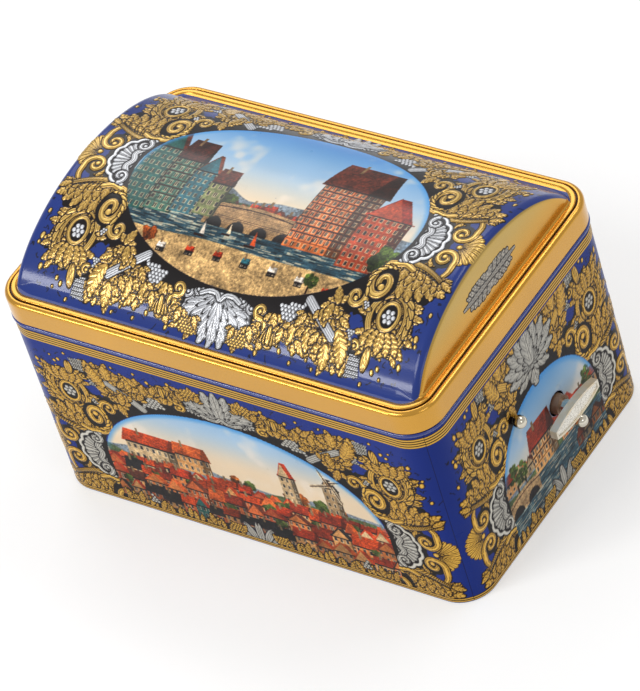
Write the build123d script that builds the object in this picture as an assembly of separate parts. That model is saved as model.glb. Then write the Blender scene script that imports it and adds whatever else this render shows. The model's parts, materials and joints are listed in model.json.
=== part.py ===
"""A hinged tin chest with a wind-up musical movement behind its right-hand wall.

Millimetres. +X runs to the right-hand end, where the key is, -Y is the front and +Z is up.
The origin is the middle of the base, on the surface that the tin stands on.
"""
from build123d import *
from math import atan2, cos, degrees, hypot, pi, radians, sin, sqrt, tan
import os

# Tin body
BODY_W = 180.0
BODY_D = 118.0
CORNER_R = 12.5
SHEET = 0.3
BEAD_Z = 83.1
BEAD_R = 0.75
NECK_INSET = 1.1
NECK_TOP_Z = 91.4
CURL_R = 0.7
FOOT_FLANGE = 2.4
FLOOR_Z = 1.5
FLOOR_FLANGE_GAP = 0.35
FLOOR_SIDE_GAP = 0.04

# Lid
LID_EDGE_Z = 84.3
RIM_Z = 93.6
RIM_R = 1.6
LID_OVER = 0.35
HEM_H = 2.4
GROOVE_OUT = 1.85
GROOVE_W = 0.5
GROOVE_DEPTH = 0.8
SHELF_Z = 94.0
CROWN_Z = 115.4
VAULT_HALF_D = 55.3
VAULT_RISE = 32.9
VAULT_FOOT_X = 85.4
VAULT_TOP_X = 83.2
VAULT_FOOT_Y = 52.6
VAULT_CORNER_R = 7.0
VAULT_EDGE_R = 2.6

# Hinges on the back wall
HINGE_X = 45.0
HINGE_Y = BODY_D / 2 + 2.1
HINGE_Z = 83.4
PIN_R = 0.7
PIN_GAP = 0.05
KNUCKLE_R = 1.3
KNUCKLE_L = 7.0
KNUCKLE_SPACE = 0.3
LEAF_T = 0.5
BODY_LEAF_LOW_Z = 71.0
BODY_LEAF_TOP_Z = 81.7
LID_LEAF_LOW_Z = 85.9
LID_LEAF_TOP_Z = 91.2

# Holes in the right-hand wall, as (y, z)
KEY_YZ = (9.25, 35.6)
SCREW_YZ = [(-13.9, 50.1), (16.7, 20.6)]
KEY_HOLE_R = 4.6
SCREW_HOLE_R = 1.7
WALL_X = BODY_W / 2
WALL_IN_X = WALL_X - SHEET

# Movement fixing
PLATE_X = 86.5
PLATE_T = 2.2
PLATE_IN_X = PLATE_X - PLATE_T
PLATE_Y = (-41.5, 23.5)
PLATE_Z = (15.0, 60.5)
BALL_R = 2.5
BALL_X = WALL_X + 2.2
SCREW_R = 1.45
SCREW_TIP_X = 82.6
GROMMET_R = 4.5

# Winding key and arbor
KEY_BACK_X = 95.9
KEY_T = 2.8
KEY_L = 28.2
KEY_H = 7.4
KEY_END_H = 3.4
KEY_TILT = -2.0
KEY_BORDER = 0.8
KEY_RECESS = 0.35
SHANK_R = 1.5
SHANK_NECK_R = 2.6
SLEEVE_R = 3.8
SLEEVE_X = (86.9, 92.6)
ARBOR_R = 2.5
ARBOR_X = (70.9, 86.7)
ARBOR_BORE_R = 1.55
SHANK_TIP_X = 78.0

# Spring housing and drive wheel
HOUSING_R = 11.0
HOUSING_T = 0.6
HOUSING_X = 74.7
LUG_R = 2.1
LUG_ANGLES = (35, 155, 275)
SPRING_T = 0.3
SPRING_IN_R = 3.6
SPRING_HALF_TURNS = 15
SPRING_X = (76.0, 83.6)
CROWN_TEETH = 40
CROWN_MODULE = 0.6
CROWN_R = CROWN_TEETH * CROWN_MODULE / 2
CROWN_PITCH_X = 72.1
CROWN_FACE_W = 1.4
CROWN_DISC_X = (73.0, 74.3)
RATCHET_TEETH = 12
RATCHET_R = 4.2
RATCHET_DEPTH = 0.8
RATCHET_X = (71.4, 72.8)

# Cylinder and its wheels
PINION_TEETH = 12
CYL_AXIS_X = CROWN_PITCH_X - PINION_TEETH * CROWN_MODULE / 2
CYL_AXIS_Z = KEY_YZ[1]
DRUM_R = 6.5
DRUM_Y = (-26.6, -4.6)
PIN_STAND = 0.7
DRUM_PIN_R = 0.2
COMB_TEETH = 18
PINS_PER_TRACK = 4
CYL_SHAFT_R = 0.75
TRAIN_MODULE = 0.35
WHEEL_TEETH = 36
WHEEL_Y = (-28.4, -27.4)
RIGHT_BRACKET_Y = (-1.5, 0.5)
LEFT_BRACKET_Y = (-31.4, -29.6)

# Comb
COMB_X = (67.7, 68.7)
COMB_TIP_GAP = 0.35
COMB_ROOT_Z = 54.0
COMB_TOP_Z = 60.0
COMB_SLOT = 0.3
COMB_SCREW_Y = (-22.0, -9.2)
COMB_SCREW_Z = 57.2

# Slotted screws
SCREW_HEAD_T = 1.2
DRIVER_SLOT_W = 0.5
DRIVER_SLOT_DEPTH = 0.45
COMB_BORE_R = 1.1
COMB_SCREW_HEAD_R = 1.9
COMB_SCREW_R = 0.98
COMB_SCREW_REACH = 5.5
COVER_BORE_R = 1.3
PILLAR_BORE_R = 1.12
COVER_SCREW_HEAD_R = 2.2
COVER_SCREW_R = 1.1
COVER_SCREW_REACH = 6.0

# Governor
GOV_PINION_TEETH = 9
GOV_PINION_Y = (-28.7, -27.1)
GOV_DROP = 6.8
WORM_WHEEL_TEETH = 24
WORM_MODULE = 0.3
WORM_WHEEL_Y = (-34.7, -33.9)
WORM_STARTS = 2
WORM_R = 1.2
WORM_X = (69.4, 75.6)
GOV_SHAFT_R = 0.5
GOV_FRAME_Y = (-39.8, -38.2)
GOV_FRAME_X = 62.6
GOV_ARM_T = 1.5
FAN_X = (78.6, 82.2)
FAN_R = 3.3
FAN_T = 0.3

# Cover over the movement
COVER_Y = (-44.0, 26.0)
COVER_Z = (11.5, 64.0)
COVER_X = (57.6, 89.5)
COVER_T = 1.0
COVER_R = 4.0
PILLAR_YZ = [(-37.0, 54.5), (19.0, 55.5)]
PILLAR_R = 2.4

EPS = 0.01


def save(node, shape):
    """Write one sub-part, from one solid or a group of separate solids."""
    export_step(shape, "parts/" + node + ".step")


def plan(offset, z, height):
    """The tin's rounded outline, grown by offset and raised from z by height."""
    outline = RectangleRounded(BODY_W + 2 * offset, BODY_D + 2 * offset, CORNER_R + offset)
    return extrude(Plane.XY.offset(z) * outline, amount=height)


def strip(x0, x1, z0, z1):
    """A rectangle given by its edges."""
    return Pos((x0 + x1) / 2, (z0 + z1) / 2) * Rectangle(x1 - x0, z1 - z0)


def wrap(profile):
    """Carry a profile of (offset from the wall, height) once round the tin."""
    half_x = BODY_W / 2 - CORNER_R
    half_y = BODY_D / 2 - CORNER_R
    section = Plane.XZ * (Pos(CORNER_R, 0) * profile)
    corner = revolve(section, Axis.Z, 90)
    turns = [(half_x, half_y, 0), (-half_x, half_y, 90), (-half_x, -half_y, 180), (half_x, -half_y, 270)]
    result = None
    for x, y, angle in turns:
        run = 2 * half_y if angle in (0, 180) else 2 * half_x
        side = extrude(section, amount=run)
        piece = Pos(x, y, 0) * (Rot(0, 0, angle) * (corner + side))
        result = piece if result is None else result + piece
    return result


def block(x, y, z, radius=0.0):
    """A box given by its three ranges, with its edges along X rounded if asked."""
    centre = ((x[0] + x[1]) / 2, (y[0] + y[1]) / 2, (z[0] + z[1]) / 2)
    solid = Pos(*centre) * Box(x[1] - x[0], y[1] - y[0], z[1] - z[0])
    return fillet(solid.edges().filter_by(Axis.X), radius) if radius else solid


def rod_x(y, z, x0, x1, radius):
    """A round bar along X."""
    return Pos((x0 + x1) / 2, y, z) * Rot(0, 90, 0) * Cylinder(radius, abs(x1 - x0))


def rod_y(x, z, y0, y1, radius):
    """A round bar along Y."""
    return Pos(x, (y0 + y1) / 2, z) * Rot(90, 0, 0) * Cylinder(radius, abs(y1 - y0))


def facing_x(x, y, z):
    """A drawing plane at x that looks along +X, with its own x along +Y and y along +Z."""
    return Plane(origin=(x, y, z), x_dir=(0, 1, 0), z_dir=(1, 0, 0))


def facing_back(x, y, z):
    """A drawing plane at y that extrudes towards -Y, with its own x along +X and y along +Z."""
    return Plane(origin=(x, y, z), x_dir=(1, 0, 0), z_dir=(0, -1, 0))


def gear_outline(teeth, module, first_tooth=0.0, thin=0.12, addendum=0.9, dedendum=1.15):
    """A spur gear's outline with involute flanks, thinned by a part of the module for backlash."""
    pitch_r = teeth * module / 2
    base_r = pitch_r * cos(radians(20))
    tip_r = pitch_r + addendum * module
    root_r = pitch_r - dedendum * module
    half_at_pitch = (pi * module / 2 - thin * module) / 2 / pitch_r

    def involute(r):
        angle = sqrt(max((r / base_r) ** 2 - 1, 0))
        return angle - atan2(angle, 1)

    start_r = max(base_r, root_r)
    flank = [start_r + (tip_r - start_r) * k / 3 for k in range(4)]
    half = [half_at_pitch + involute(pitch_r) - involute(r) for r in flank]
    points = []
    for tooth in range(teeth):
        centre = radians(first_tooth) + 2 * pi * tooth / teeth
        if root_r < start_r:
            points.append((root_r, centre - half[0]))
        points += [(r, centre - a) for r, a in zip(flank, half)]
        points += [(r, centre + a) for r, a in zip(flank[::-1], half[::-1])]
        if root_r < start_r:
            points.append((root_r, centre + half[0]))
    corners = [(r * cos(a), r * sin(a)) for r, a in points]
    return make_face(Polyline(*corners, close=True))


def make_body_wall():
    """The wrapped wall with its foot flange, stop bead, drawn-in neck and curled mouth."""
    profile = strip(-SHEET, 0, 0, BEAD_Z)
    profile += strip(-FOOT_FLANGE, 0, 0, SHEET)
    profile += Pos(-SHEET / 2, BEAD_Z) * Circle(BEAD_R)
    profile += strip(-NECK_INSET - SHEET, 0, BEAD_Z - SHEET / 2, BEAD_Z + SHEET / 2)
    profile += strip(-NECK_INSET - SHEET, -NECK_INSET, BEAD_Z, NECK_TOP_Z)
    curl = Circle(CURL_R) - Circle(CURL_R - SHEET)
    profile += Pos(-NECK_INSET - CURL_R, NECK_TOP_Z) * curl
    wall = wrap(profile)
    wall -= rod_x(*KEY_YZ, WALL_IN_X - 1, WALL_X + 1, KEY_HOLE_R)
    for y, z in SCREW_YZ:
        wall -= rod_x(y, z, WALL_IN_X - 1, WALL_X + 1, SCREW_HOLE_R)
    return wall


def make_bottom_panel():
    """The floor, with a flange turned down inside the wall."""
    gap = SHEET + FLOOR_SIDE_GAP
    panel = plan(-gap, FLOOR_Z, SHEET)
    flange = plan(-gap, FLOOR_FLANGE_GAP, FLOOR_Z) - plan(-gap - SHEET, FLOOR_FLANGE_GAP, FLOOR_Z)
    return panel + flange


def lid_form(inset):
    """The pressed lid's outside for inset 0, or its inside for an inset of one sheet."""
    rim = plan(LID_OVER - inset, LID_EDGE_Z - inset, RIM_Z - LID_EDGE_Z)
    rim = fillet(rim.edges().group_by(Axis.Z)[-1], RIM_R - inset)
    groove_out = -GROOVE_OUT + inset
    groove_in = -GROOVE_OUT - GROOVE_W - inset
    groove_z = RIM_Z - GROOVE_DEPTH - inset
    rim -= plan(groove_out, groove_z, 2) - plan(groove_in, groove_z, 2)
    shelf = plan(groove_in, groove_z - 1, SHELF_Z - inset - groove_z + 1)

    arch_plane = Plane.YZ.offset(-BODY_W / 2)
    centre_z = CROWN_Z - VAULT_RISE
    arch = Pos(0, centre_z) * Ellipse(VAULT_HALF_D - inset, VAULT_RISE - inset)
    vault = extrude(arch_plane * arch, amount=BODY_W)
    foot_x = VAULT_FOOT_X - inset
    top_x = VAULT_TOP_X - inset
    low_z = SHELF_Z - 2
    side = Polyline((-foot_x, low_z), (foot_x, low_z), (foot_x, SHELF_Z), (top_x, CROWN_Z),
                    (-top_x, CROWN_Z), (-foot_x, SHELF_Z), close=True)
    vault &= extrude(Plane.XZ.offset(-BODY_D / 2) * make_face(side), amount=BODY_D)
    end_arches = [e for e in vault.edges() if e.center().Z > SHELF_Z + 5 and e.length > VAULT_HALF_D]
    vault = fillet(end_arches, VAULT_EDGE_R - inset)
    outline = RectangleRounded(2 * foot_x, 2 * (VAULT_FOOT_Y - inset), VAULT_CORNER_R - inset)
    vault &= extrude(Plane.XY.offset(low_z) * outline, amount=CROWN_Z)
    return rim + shelf + vault


def make_lid_shell():
    """The pressed lid: skirt with a folded hem, rounded rim, groove, shelf and barrel vault."""
    lid = lid_form(0) - lid_form(SHEET)
    hem = plan(LID_OVER - SHEET, LID_EDGE_Z, HEM_H) - plan(LID_OVER - 2 * SHEET, LID_EDGE_Z, HEM_H)
    return lid + hem


def hinge_spans():
    """Spans of the middle barrel, and of the two outer ones, about a hinge's middle."""
    inner = KNUCKLE_L / 2
    outer = (inner + KNUCKLE_SPACE, inner + KNUCKLE_SPACE + KNUCKLE_L)
    return [(-inner, inner)], [(-outer[1], -outer[0]), outer]


def leaf(points, spans, x0, wall_y):
    """A bent leaf of even thickness through the given (y, z) points, joined to its barrels."""
    low = min(s[0] for s in spans)
    high = max(s[1] for s in spans)
    flat = block((x0 + low, x0 + high), (points[0][0] - LEAF_T / 2, points[0][0] + LEAF_T / 2),
                 (min(points[0][1], points[1][1]), max(points[0][1], points[1][1])))
    result = flat
    bend_y, bend_z = points[1]
    end_y, end_z = points[2]
    run = hypot(end_y - bend_y, end_z - bend_z)
    lean = degrees(atan2(end_z - bend_z, end_y - bend_y))
    for span in spans:
        arm = Box(span[1] - span[0], run + LEAF_T, LEAF_T)
        place = Pos(x0 + (span[0] + span[1]) / 2, (bend_y + end_y) / 2, (bend_z + end_z) / 2)
        result += place * Rot(lean, 0, 0) * arm
        result += rod_x(HINGE_Y, HINGE_Z, x0 + span[0], x0 + span[1], KNUCKLE_R)
    behind = block((x0 + low - 1, x0 + high + 1), (wall_y - 2, wall_y), (BODY_LEAF_LOW_Z, LID_LEAF_TOP_Z))
    bore = rod_x(HINGE_Y, HINGE_Z, x0 + low - 1, x0 + high + 1, PIN_R + PIN_GAP)
    return result - behind - bore


def make_hinges():
    """Both hinges: leaves on the body, leaves on the lid, and the pins."""
    middle, sides = hinge_spans()
    body_back = BODY_D / 2 + EPS
    lid_back = BODY_D / 2 + LID_OVER + EPS
    body_leaf_y = body_back + LEAF_T / 2
    lid_leaf_y = lid_back + LEAF_T / 2
    below = (HINGE_Y, HINGE_Z - KNUCKLE_R + LEAF_T / 2)
    above = (HINGE_Y, HINGE_Z + KNUCKLE_R - LEAF_T / 2)
    on_body = []
    on_lid = []
    pins = []
    for x0 in (-HINGE_X, HINGE_X):
        body_points = [(body_leaf_y, BODY_LEAF_LOW_Z), (body_leaf_y, BODY_LEAF_TOP_Z), below]
        lid_points = [(lid_leaf_y, LID_LEAF_TOP_Z), (lid_leaf_y, LID_LEAF_LOW_Z), above]
        on_body.append(leaf(body_points, middle, x0, body_back))
        on_lid.append(leaf(lid_points, sides, x0, lid_back))
        reach = sides[1][1] + 0.4
        pins.append(rod_x(HINGE_Y, HINGE_Z, x0 - reach, x0 + reach, PIN_R))
    save("body_hinge_leaves", Compound(on_body))
    save("lid_hinge_leaves", Compound(on_lid))
    save("hinge_pins", Compound(pins))


def make_fixings():
    """Ball-headed screws through the wall, and the grommets that space the movement off it."""
    screws = []
    grommets = []
    for y, z in SCREW_YZ:
        ball = Pos(BALL_X, y, z) * Sphere(BALL_R)
        ball &= block((WALL_X + EPS, BALL_X + BALL_R), (y - BALL_R, y + BALL_R), (z - BALL_R, z + BALL_R))
        screws.append(ball + rod_x(y, z, SCREW_TIP_X, BALL_X, SCREW_R))
        ring = rod_x(y, z, PLATE_X + EPS, WALL_IN_X - EPS, GROMMET_R)
        grommets.append(ring - rod_x(y, z, PLATE_X, WALL_IN_X, SCREW_HOLE_R))
    save("ball_head_screws", Compound(screws))
    save("mounting_grommets", Compound(grommets))


def key_outline(length, height, end_height):
    """A lens with cut-off ends, as a drawing about its middle."""
    top = ThreePointArc((-length / 2, end_height / 2), (0, height / 2), (length / 2, end_height / 2))
    right = Line((length / 2, end_height / 2), (length / 2, -end_height / 2))
    low = ThreePointArc((length / 2, -end_height / 2), (0, -height / 2), (-length / 2, -end_height / 2))
    left = Line((-length / 2, -end_height / 2), (-length / 2, end_height / 2))
    return make_face([top, right, low, left])


def make_key():
    """The T-bar key: its handle, its threaded shank, and the sleeve that passes the wall."""
    y, z = KEY_YZ
    front = facing_x(KEY_BACK_X, y, z) * Rot(0, 0, KEY_TILT)
    handle = extrude(front * key_outline(KEY_L, KEY_H, KEY_END_H), amount=KEY_T)
    field = key_outline(KEY_L - 2.4 * KEY_BORDER, KEY_H - 2 * KEY_BORDER, KEY_END_H - 1.6 * KEY_BORDER)
    face = facing_x(KEY_BACK_X + KEY_T - KEY_RECESS, y, z) * Rot(0, 0, KEY_TILT)
    handle -= extrude(face * field, amount=1)
    handle -= rod_x(y, z, KEY_BACK_X - 1, KEY_BACK_X + 1.2, SHANK_R)
    save("winding_key_handle", handle)
    shank = rod_x(y, z, SHANK_TIP_X, KEY_BACK_X + 1.2, SHANK_R)
    shank += rod_x(y, z, SLEEVE_X[1] + EPS, KEY_BACK_X - EPS, SHANK_NECK_R)
    save("winding_key_shank", shank)
    sleeve = rod_x(y, z, *SLEEVE_X, SLEEVE_R) - rod_x(y, z, *SLEEVE_X, SHANK_R + EPS)
    save("key_sleeve", sleeve)


def make_bedplate():
    """The cast bedplate with the ledge that carries the comb."""
    plate = block((PLATE_IN_X, PLATE_X), PLATE_Y, PLATE_Z, 3.0)
    ledge_y = (DRUM_Y[0] - 0.4, DRUM_Y[1] + 0.4)
    plate += block((COMB_X[1], PLATE_IN_X), ledge_y, (COMB_ROOT_Z, COMB_TOP_Z))
    plate -= rod_x(*KEY_YZ, PLATE_IN_X - 1, PLATE_X + 1, ARBOR_R + PIN_GAP)
    for y, z in SCREW_YZ:
        plate -= rod_x(y, z, PLATE_IN_X - 1, PLATE_X + 1, SCREW_R + EPS)
    for y in COMB_SCREW_Y:
        plate -= rod_x(y, COMB_SCREW_Z, COMB_X[1] - 1, COMB_X[1] + 6, 1.0)
    worm_y, worm_z = worm_yz()
    plate -= rod_x(worm_y, worm_z, PLATE_IN_X - 1, PLATE_IN_X + 1.2, GOV_SHAFT_R + PIN_GAP)
    return plate


def make_spring_motor():
    """Spring housing with its screws, the mainspring, and the arbor through them."""
    y, z = KEY_YZ
    cup = rod_x(y, z, HOUSING_X, PLATE_IN_X - EPS, HOUSING_R)
    cup -= rod_x(y, z, HOUSING_X + HOUSING_T, PLATE_IN_X, HOUSING_R - HOUSING_T)
    screws = []
    lugs = []
    for angle in LUG_ANGLES:
        lug_y = y + (HOUSING_R + 1.6) * cos(radians(angle))
        lug_z = z + (HOUSING_R + 1.6) * sin(radians(angle))
        lug = rod_x(lug_y, lug_z, PLATE_IN_X - EPS - HOUSING_T, PLATE_IN_X - EPS, LUG_R)
        lug -= rod_x(y, z, HOUSING_X, PLATE_IN_X, HOUSING_R - HOUSING_T)
        lugs.append((lug, lug_y, lug_z))
    for lug, lug_y, lug_z in lugs:
        cup += lug
        head = rod_x(lug_y, lug_z, PLATE_IN_X - 1.5, PLATE_IN_X - HOUSING_T - 2 * EPS, 1.3)
        screws.append(head)
    cup -= rod_x(y, z, HOUSING_X - 1, HOUSING_X + 1, ARBOR_R + PIN_GAP)
    save("spring_housing", cup)
    save("housing_screws", Compound(screws))

    pitch = (HOUSING_R - HOUSING_T - 0.3 - SPRING_IN_R) / (SPRING_HALF_TURNS / 2 + 0.5)
    edges = []
    outer = []
    inner = []
    for turn in range(SPRING_HALF_TURNS):
        radius = SPRING_IN_R + pitch * turn / 2
        side = 1 if turn % 2 == 0 else -1
        centre = side * pitch / 4
        outer.append((centre, radius + SPRING_T / 2, side))
        inner.append((centre, radius - SPRING_T / 2, side))
    for centre, radius, side in outer:
        start = (centre - side * radius, 0)
        end = (centre + side * radius, 0)
        edges.append(ThreePointArc(start, (centre, side * radius), end))
    first = edges[0] @ 0
    last = edges[-1] @ 1
    back = []
    for centre, radius, side in inner:
        start = (centre - side * radius, 0)
        end = (centre + side * radius, 0)
        back.append(ThreePointArc(start, (centre, side * radius), end))
    edges.append(Line(last, back[-1] @ 1))
    edges += back
    edges.append(Line(back[0] @ 0, first))
    spring = extrude(facing_x(SPRING_X[0], y, z) * make_face(edges), amount=SPRING_X[1] - SPRING_X[0])
    save("mainspring", spring)

    arbor = rod_x(y, z, *ARBOR_X, ARBOR_R)
    arbor -= rod_x(y, z, SHANK_TIP_X - 0.3, ARBOR_X[1] + 1, ARBOR_BORE_R)
    save("winding_arbor", arbor)


def make_drive_wheel():
    """The crown wheel that drives the cylinder, with its ratchet wheel and click."""
    y, z = KEY_YZ
    rim_r = CROWN_R + CROWN_FACE_W / 2
    wheel = rod_x(y, z, *CROWN_DISC_X, rim_r) - rod_x(y, z, *CROWN_DISC_X, ARBOR_R + EPS)
    pitch = pi * CROWN_MODULE
    slope = tan(radians(20))
    half = pitch / 4 - 0.09
    tip_x = CROWN_PITCH_X - 0.85 * CROWN_MODULE
    root_x = CROWN_DISC_X[0] + 0.2
    half_tip = half - slope * (CROWN_PITCH_X - tip_x)
    half_root = half + slope * (root_x - CROWN_PITCH_X)
    shape = Polyline((tip_x, -half_tip), (tip_x, half_tip), (root_x, half_root), (root_x, -half_root),
                     close=True)
    section = Plane(origin=(0, CROWN_R - CROWN_FACE_W / 2, 0), x_dir=(1, 0, 0), z_dir=(0, 1, 0))
    tooth = extrude(section * make_face(shape), amount=CROWN_FACE_W)
    teeth = []
    for k in range(CROWN_TEETH):
        angle = 180 + 360 / CROWN_TEETH * (k + 0.5)
        teeth.append(Pos(0, y, z) * Rot(angle, 0, 0) * tooth)
    wheel = wheel + teeth
    save("drive_wheel", wheel)

    corners = []
    for k in range(RATCHET_TEETH):
        start = 2 * pi * k / RATCHET_TEETH
        corners.append((RATCHET_R * cos(start), RATCHET_R * sin(start)))
        inner = RATCHET_R - RATCHET_DEPTH
        corners.append((inner * cos(start + 0.04), inner * sin(start + 0.04)))
    ratchet = extrude(facing_x(RATCHET_X[0], y, z) * make_face(Polyline(*corners, close=True)),
                      amount=RATCHET_X[1] - RATCHET_X[0])
    save("ratchet_wheel", ratchet - rod_x(y, z, *RATCHET_X, ARBOR_R + EPS))

    click_x = (RATCHET_X[0], CROWN_DISC_X[0] - EPS)
    pivot = (y + 7.6, z + 3.0)
    click = rod_x(*pivot, click_x[0], click_x[1], 1.2)
    pawl = Polyline((-5.2, 0.35), (0, 1.2), (0, -1.2), (-3.3, -1.1), (-5.1, -0.2), close=True)
    pawl_solid = extrude(facing_x(click_x[0], *pivot) * Rot(0, 0, 62) * make_face(pawl),
                         amount=click_x[1] - click_x[0])
    save("ratchet_click", click + pawl_solid)
    clip = rod_x(y, z, ARBOR_X[0] - 0.5, ARBOR_X[0] - EPS, ARBOR_R + 0.6)
    save("arbor_clip", clip)


def make_cylinder():
    """The pinned cylinder with its shaft, crown pinion and train wheel."""
    x = CYL_AXIS_X
    z = CYL_AXIS_Z
    drum = rod_y(x, z, *DRUM_Y, DRUM_R)
    track = (DRUM_Y[1] - DRUM_Y[0]) / COMB_TEETH
    pins = []
    for tooth in range(COMB_TEETH):
        for pin in range(PINS_PER_TRACK):
            angle = 137.5 * (tooth * PINS_PER_TRACK + pin) + 20
            height = DRUM_R + PIN_STAND
            place = Pos(x, DRUM_Y[0] + track * (tooth + 0.5), z) * Rot(0, angle, 0)
            pins.append(place * (Pos(0, 0, height / 2) * Cylinder(DRUM_PIN_R, height)))
    drum = drum + pins
    drum -= rod_y(x, z, *DRUM_Y, CYL_SHAFT_R + EPS)
    save("pinned_cylinder", drum)
    save("cylinder_shaft", rod_y(x, z, LEFT_BRACKET_Y[0] + 0.1, RIGHT_BRACKET_Y[1] - 0.1, CYL_SHAFT_R))

    pinion_y = KEY_YZ[0] - CROWN_R
    pinion = extrude(facing_back(x, pinion_y + 0.6, z) * gear_outline(PINION_TEETH, CROWN_MODULE, 0.0),
                     amount=1.2)
    save("cylinder_pinion", pinion - rod_y(x, z, pinion_y - 2, pinion_y + 2, CYL_SHAFT_R + EPS))

    wheel = extrude(facing_back(x, WHEEL_Y[1], z) * gear_outline(WHEEL_TEETH, TRAIN_MODULE, mesh_angle()),
                    amount=WHEEL_Y[1] - WHEEL_Y[0])
    save("cylinder_wheel", wheel - rod_y(x, z, WHEEL_Y[0] - 1, WHEEL_Y[1] + 1, CYL_SHAFT_R + EPS))


def train_distance():
    """Distance from the cylinder's axis to the governor's first axis."""
    return (WHEEL_TEETH + GOV_PINION_TEETH) * TRAIN_MODULE / 2


def gov_xz():
    """Where the governor's first axis lies."""
    across = sqrt(train_distance() ** 2 - GOV_DROP ** 2)
    return CYL_AXIS_X + across, CYL_AXIS_Z - GOV_DROP


def mesh_angle():
    """Direction from the cylinder's axis to the governor's first axis, from +X towards +Z."""
    x, z = gov_xz()
    return degrees(atan2(z - CYL_AXIS_Z, x - CYL_AXIS_X))


def worm_yz():
    """Where the worm's axis lies."""
    reach = WORM_WHEEL_TEETH * WORM_MODULE / 2 + WORM_R
    return (WORM_WHEEL_Y[0] + WORM_WHEEL_Y[1]) / 2, gov_xz()[1] - reach


def make_governor():
    """Governor train: pinion and worm wheel on one shaft, then the worm with its air brake."""
    x, z = gov_xz()
    save("governor_shaft", rod_y(x, z, GOV_FRAME_Y[0] + 0.1, GOV_PINION_Y[1], GOV_SHAFT_R))
    half_tooth = 180 / GOV_PINION_TEETH
    outline = gear_outline(GOV_PINION_TEETH, TRAIN_MODULE, mesh_angle() + 180 + half_tooth)
    pinion_w = GOV_PINION_Y[1] - GOV_PINION_Y[0]
    pinion = extrude(facing_back(x, GOV_PINION_Y[1], z) * outline, amount=pinion_w)
    save("governor_pinion", pinion - rod_y(x, z, GOV_PINION_Y[0] - 1, GOV_PINION_Y[1] + 1, GOV_SHAFT_R + EPS))

    width = WORM_WHEEL_Y[1] - WORM_WHEEL_Y[0]
    lead = WORM_STARTS * pi * WORM_MODULE
    helix = lead / (2 * pi * WORM_R)
    pitch_r = WORM_WHEEL_TEETH * WORM_MODULE / 2
    twist = degrees(width * helix / pitch_r)
    outline = gear_outline(WORM_WHEEL_TEETH, WORM_MODULE, -90.0, thin=0.5, addendum=0.8)
    wheel = Solid.extrude_linear_with_rotation(outline.face(), (0, 0, 0), (0, 0, width), twist)
    wheel = facing_back(x, WORM_WHEEL_Y[1], z) * (Rot(0, 0, -twist / 2) * wheel)
    save("governor_worm_wheel", wheel - rod_y(x, z, WORM_WHEEL_Y[0] - 1, WORM_WHEEL_Y[1] + 1,
                                              GOV_SHAFT_R + EPS))

    worm_y, worm_z = worm_yz()
    core_r = WORM_R - 1.15 * WORM_MODULE
    tip_r = WORM_R + 0.8 * WORM_MODULE
    lobe_root = 0.52
    lobe_tip = 0.2
    section = Circle(core_r)
    for start in range(WORM_STARTS):
        lobe = Polyline((core_r / 2, -core_r * lobe_root), (tip_r, -tip_r * lobe_tip),
                        (tip_r, tip_r * lobe_tip), (core_r / 2, core_r * lobe_root), close=True)
        section += Rot(0, 0, 360 * start / WORM_STARTS) * make_face(lobe)
    length = WORM_X[1] - WORM_X[0]
    turn = 360 * length / lead
    thread = Solid.extrude_linear_with_rotation(section.face(), (0, 0, 0), (0, 0, length), turn)
    to_mesh = 90 - 360 * (x - WORM_X[0]) / lead + 180 / WORM_STARTS
    thread = facing_x(WORM_X[0], worm_y, worm_z) * (Rot(0, 0, to_mesh) * thread)
    shaft = rod_x(worm_y, worm_z, GOV_FRAME_X + 0.2, PLATE_IN_X + 1.1, GOV_SHAFT_R)
    save("worm_shaft", shaft + thread)

    hub = rod_x(worm_y, worm_z, *FAN_X, 1.1)
    blades = block(FAN_X, (worm_y - FAN_R, worm_y + FAN_R), (worm_z - FAN_T / 2, worm_z + FAN_T / 2))
    fan = hub + blades - rod_x(worm_y, worm_z, FAN_X[0] - 1, FAN_X[1] + 1, GOV_SHAFT_R + EPS)
    save("air_brake_fan", fan)


def make_brackets():
    """The two posts that carry the cylinder, and the governor's frame."""
    x = CYL_AXIS_X
    z = CYL_AXIS_Z
    reach = 11.8
    leg = 2.0
    bar = block((x - 1.7, x + 1.7), RIGHT_BRACKET_Y, (z - reach, z + reach))
    right = bar
    for side in (-1, 1):
        legs = sorted((z + side * reach, z + side * (reach - leg)))
        right += block((x - 1.7, PLATE_IN_X - EPS), RIGHT_BRACKET_Y, legs)
    right -= rod_y(x, z, RIGHT_BRACKET_Y[0] - 1, RIGHT_BRACKET_Y[1] + 1, CYL_SHAFT_R + PIN_GAP)
    save("right_cylinder_bracket", right)

    gov_x, gov_z = gov_xz()
    left = block((x - 2, PLATE_IN_X - EPS), LEFT_BRACKET_Y, (gov_z - 2.2, z + 2.4))
    left -= rod_y(x, z, LEFT_BRACKET_Y[0] - 1, LEFT_BRACKET_Y[1] + 1, CYL_SHAFT_R + PIN_GAP)
    left -= rod_y(gov_x, gov_z, LEFT_BRACKET_Y[0] - 1, LEFT_BRACKET_Y[1] + 1, GOV_SHAFT_R + PIN_GAP)
    save("left_cylinder_bracket", left)

    worm_y, worm_z = worm_yz()
    frame = block((GOV_FRAME_X, PLATE_IN_X - EPS), GOV_FRAME_Y, (worm_z - 3.0, gov_z + 2.6))
    frame += block((GOV_FRAME_X, GOV_FRAME_X + GOV_ARM_T), (GOV_FRAME_Y[0], worm_y + 2.4),
                   (worm_z - 3.0, worm_z + 3.0))
    frame -= rod_y(gov_x, gov_z, GOV_FRAME_Y[0] - 1, GOV_FRAME_Y[1] + 1, GOV_SHAFT_R + PIN_GAP)
    frame -= rod_x(worm_y, worm_z, GOV_FRAME_X - 1, GOV_FRAME_X + GOV_ARM_T + 1, GOV_SHAFT_R + PIN_GAP)
    save("governor_frame", frame)


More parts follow.
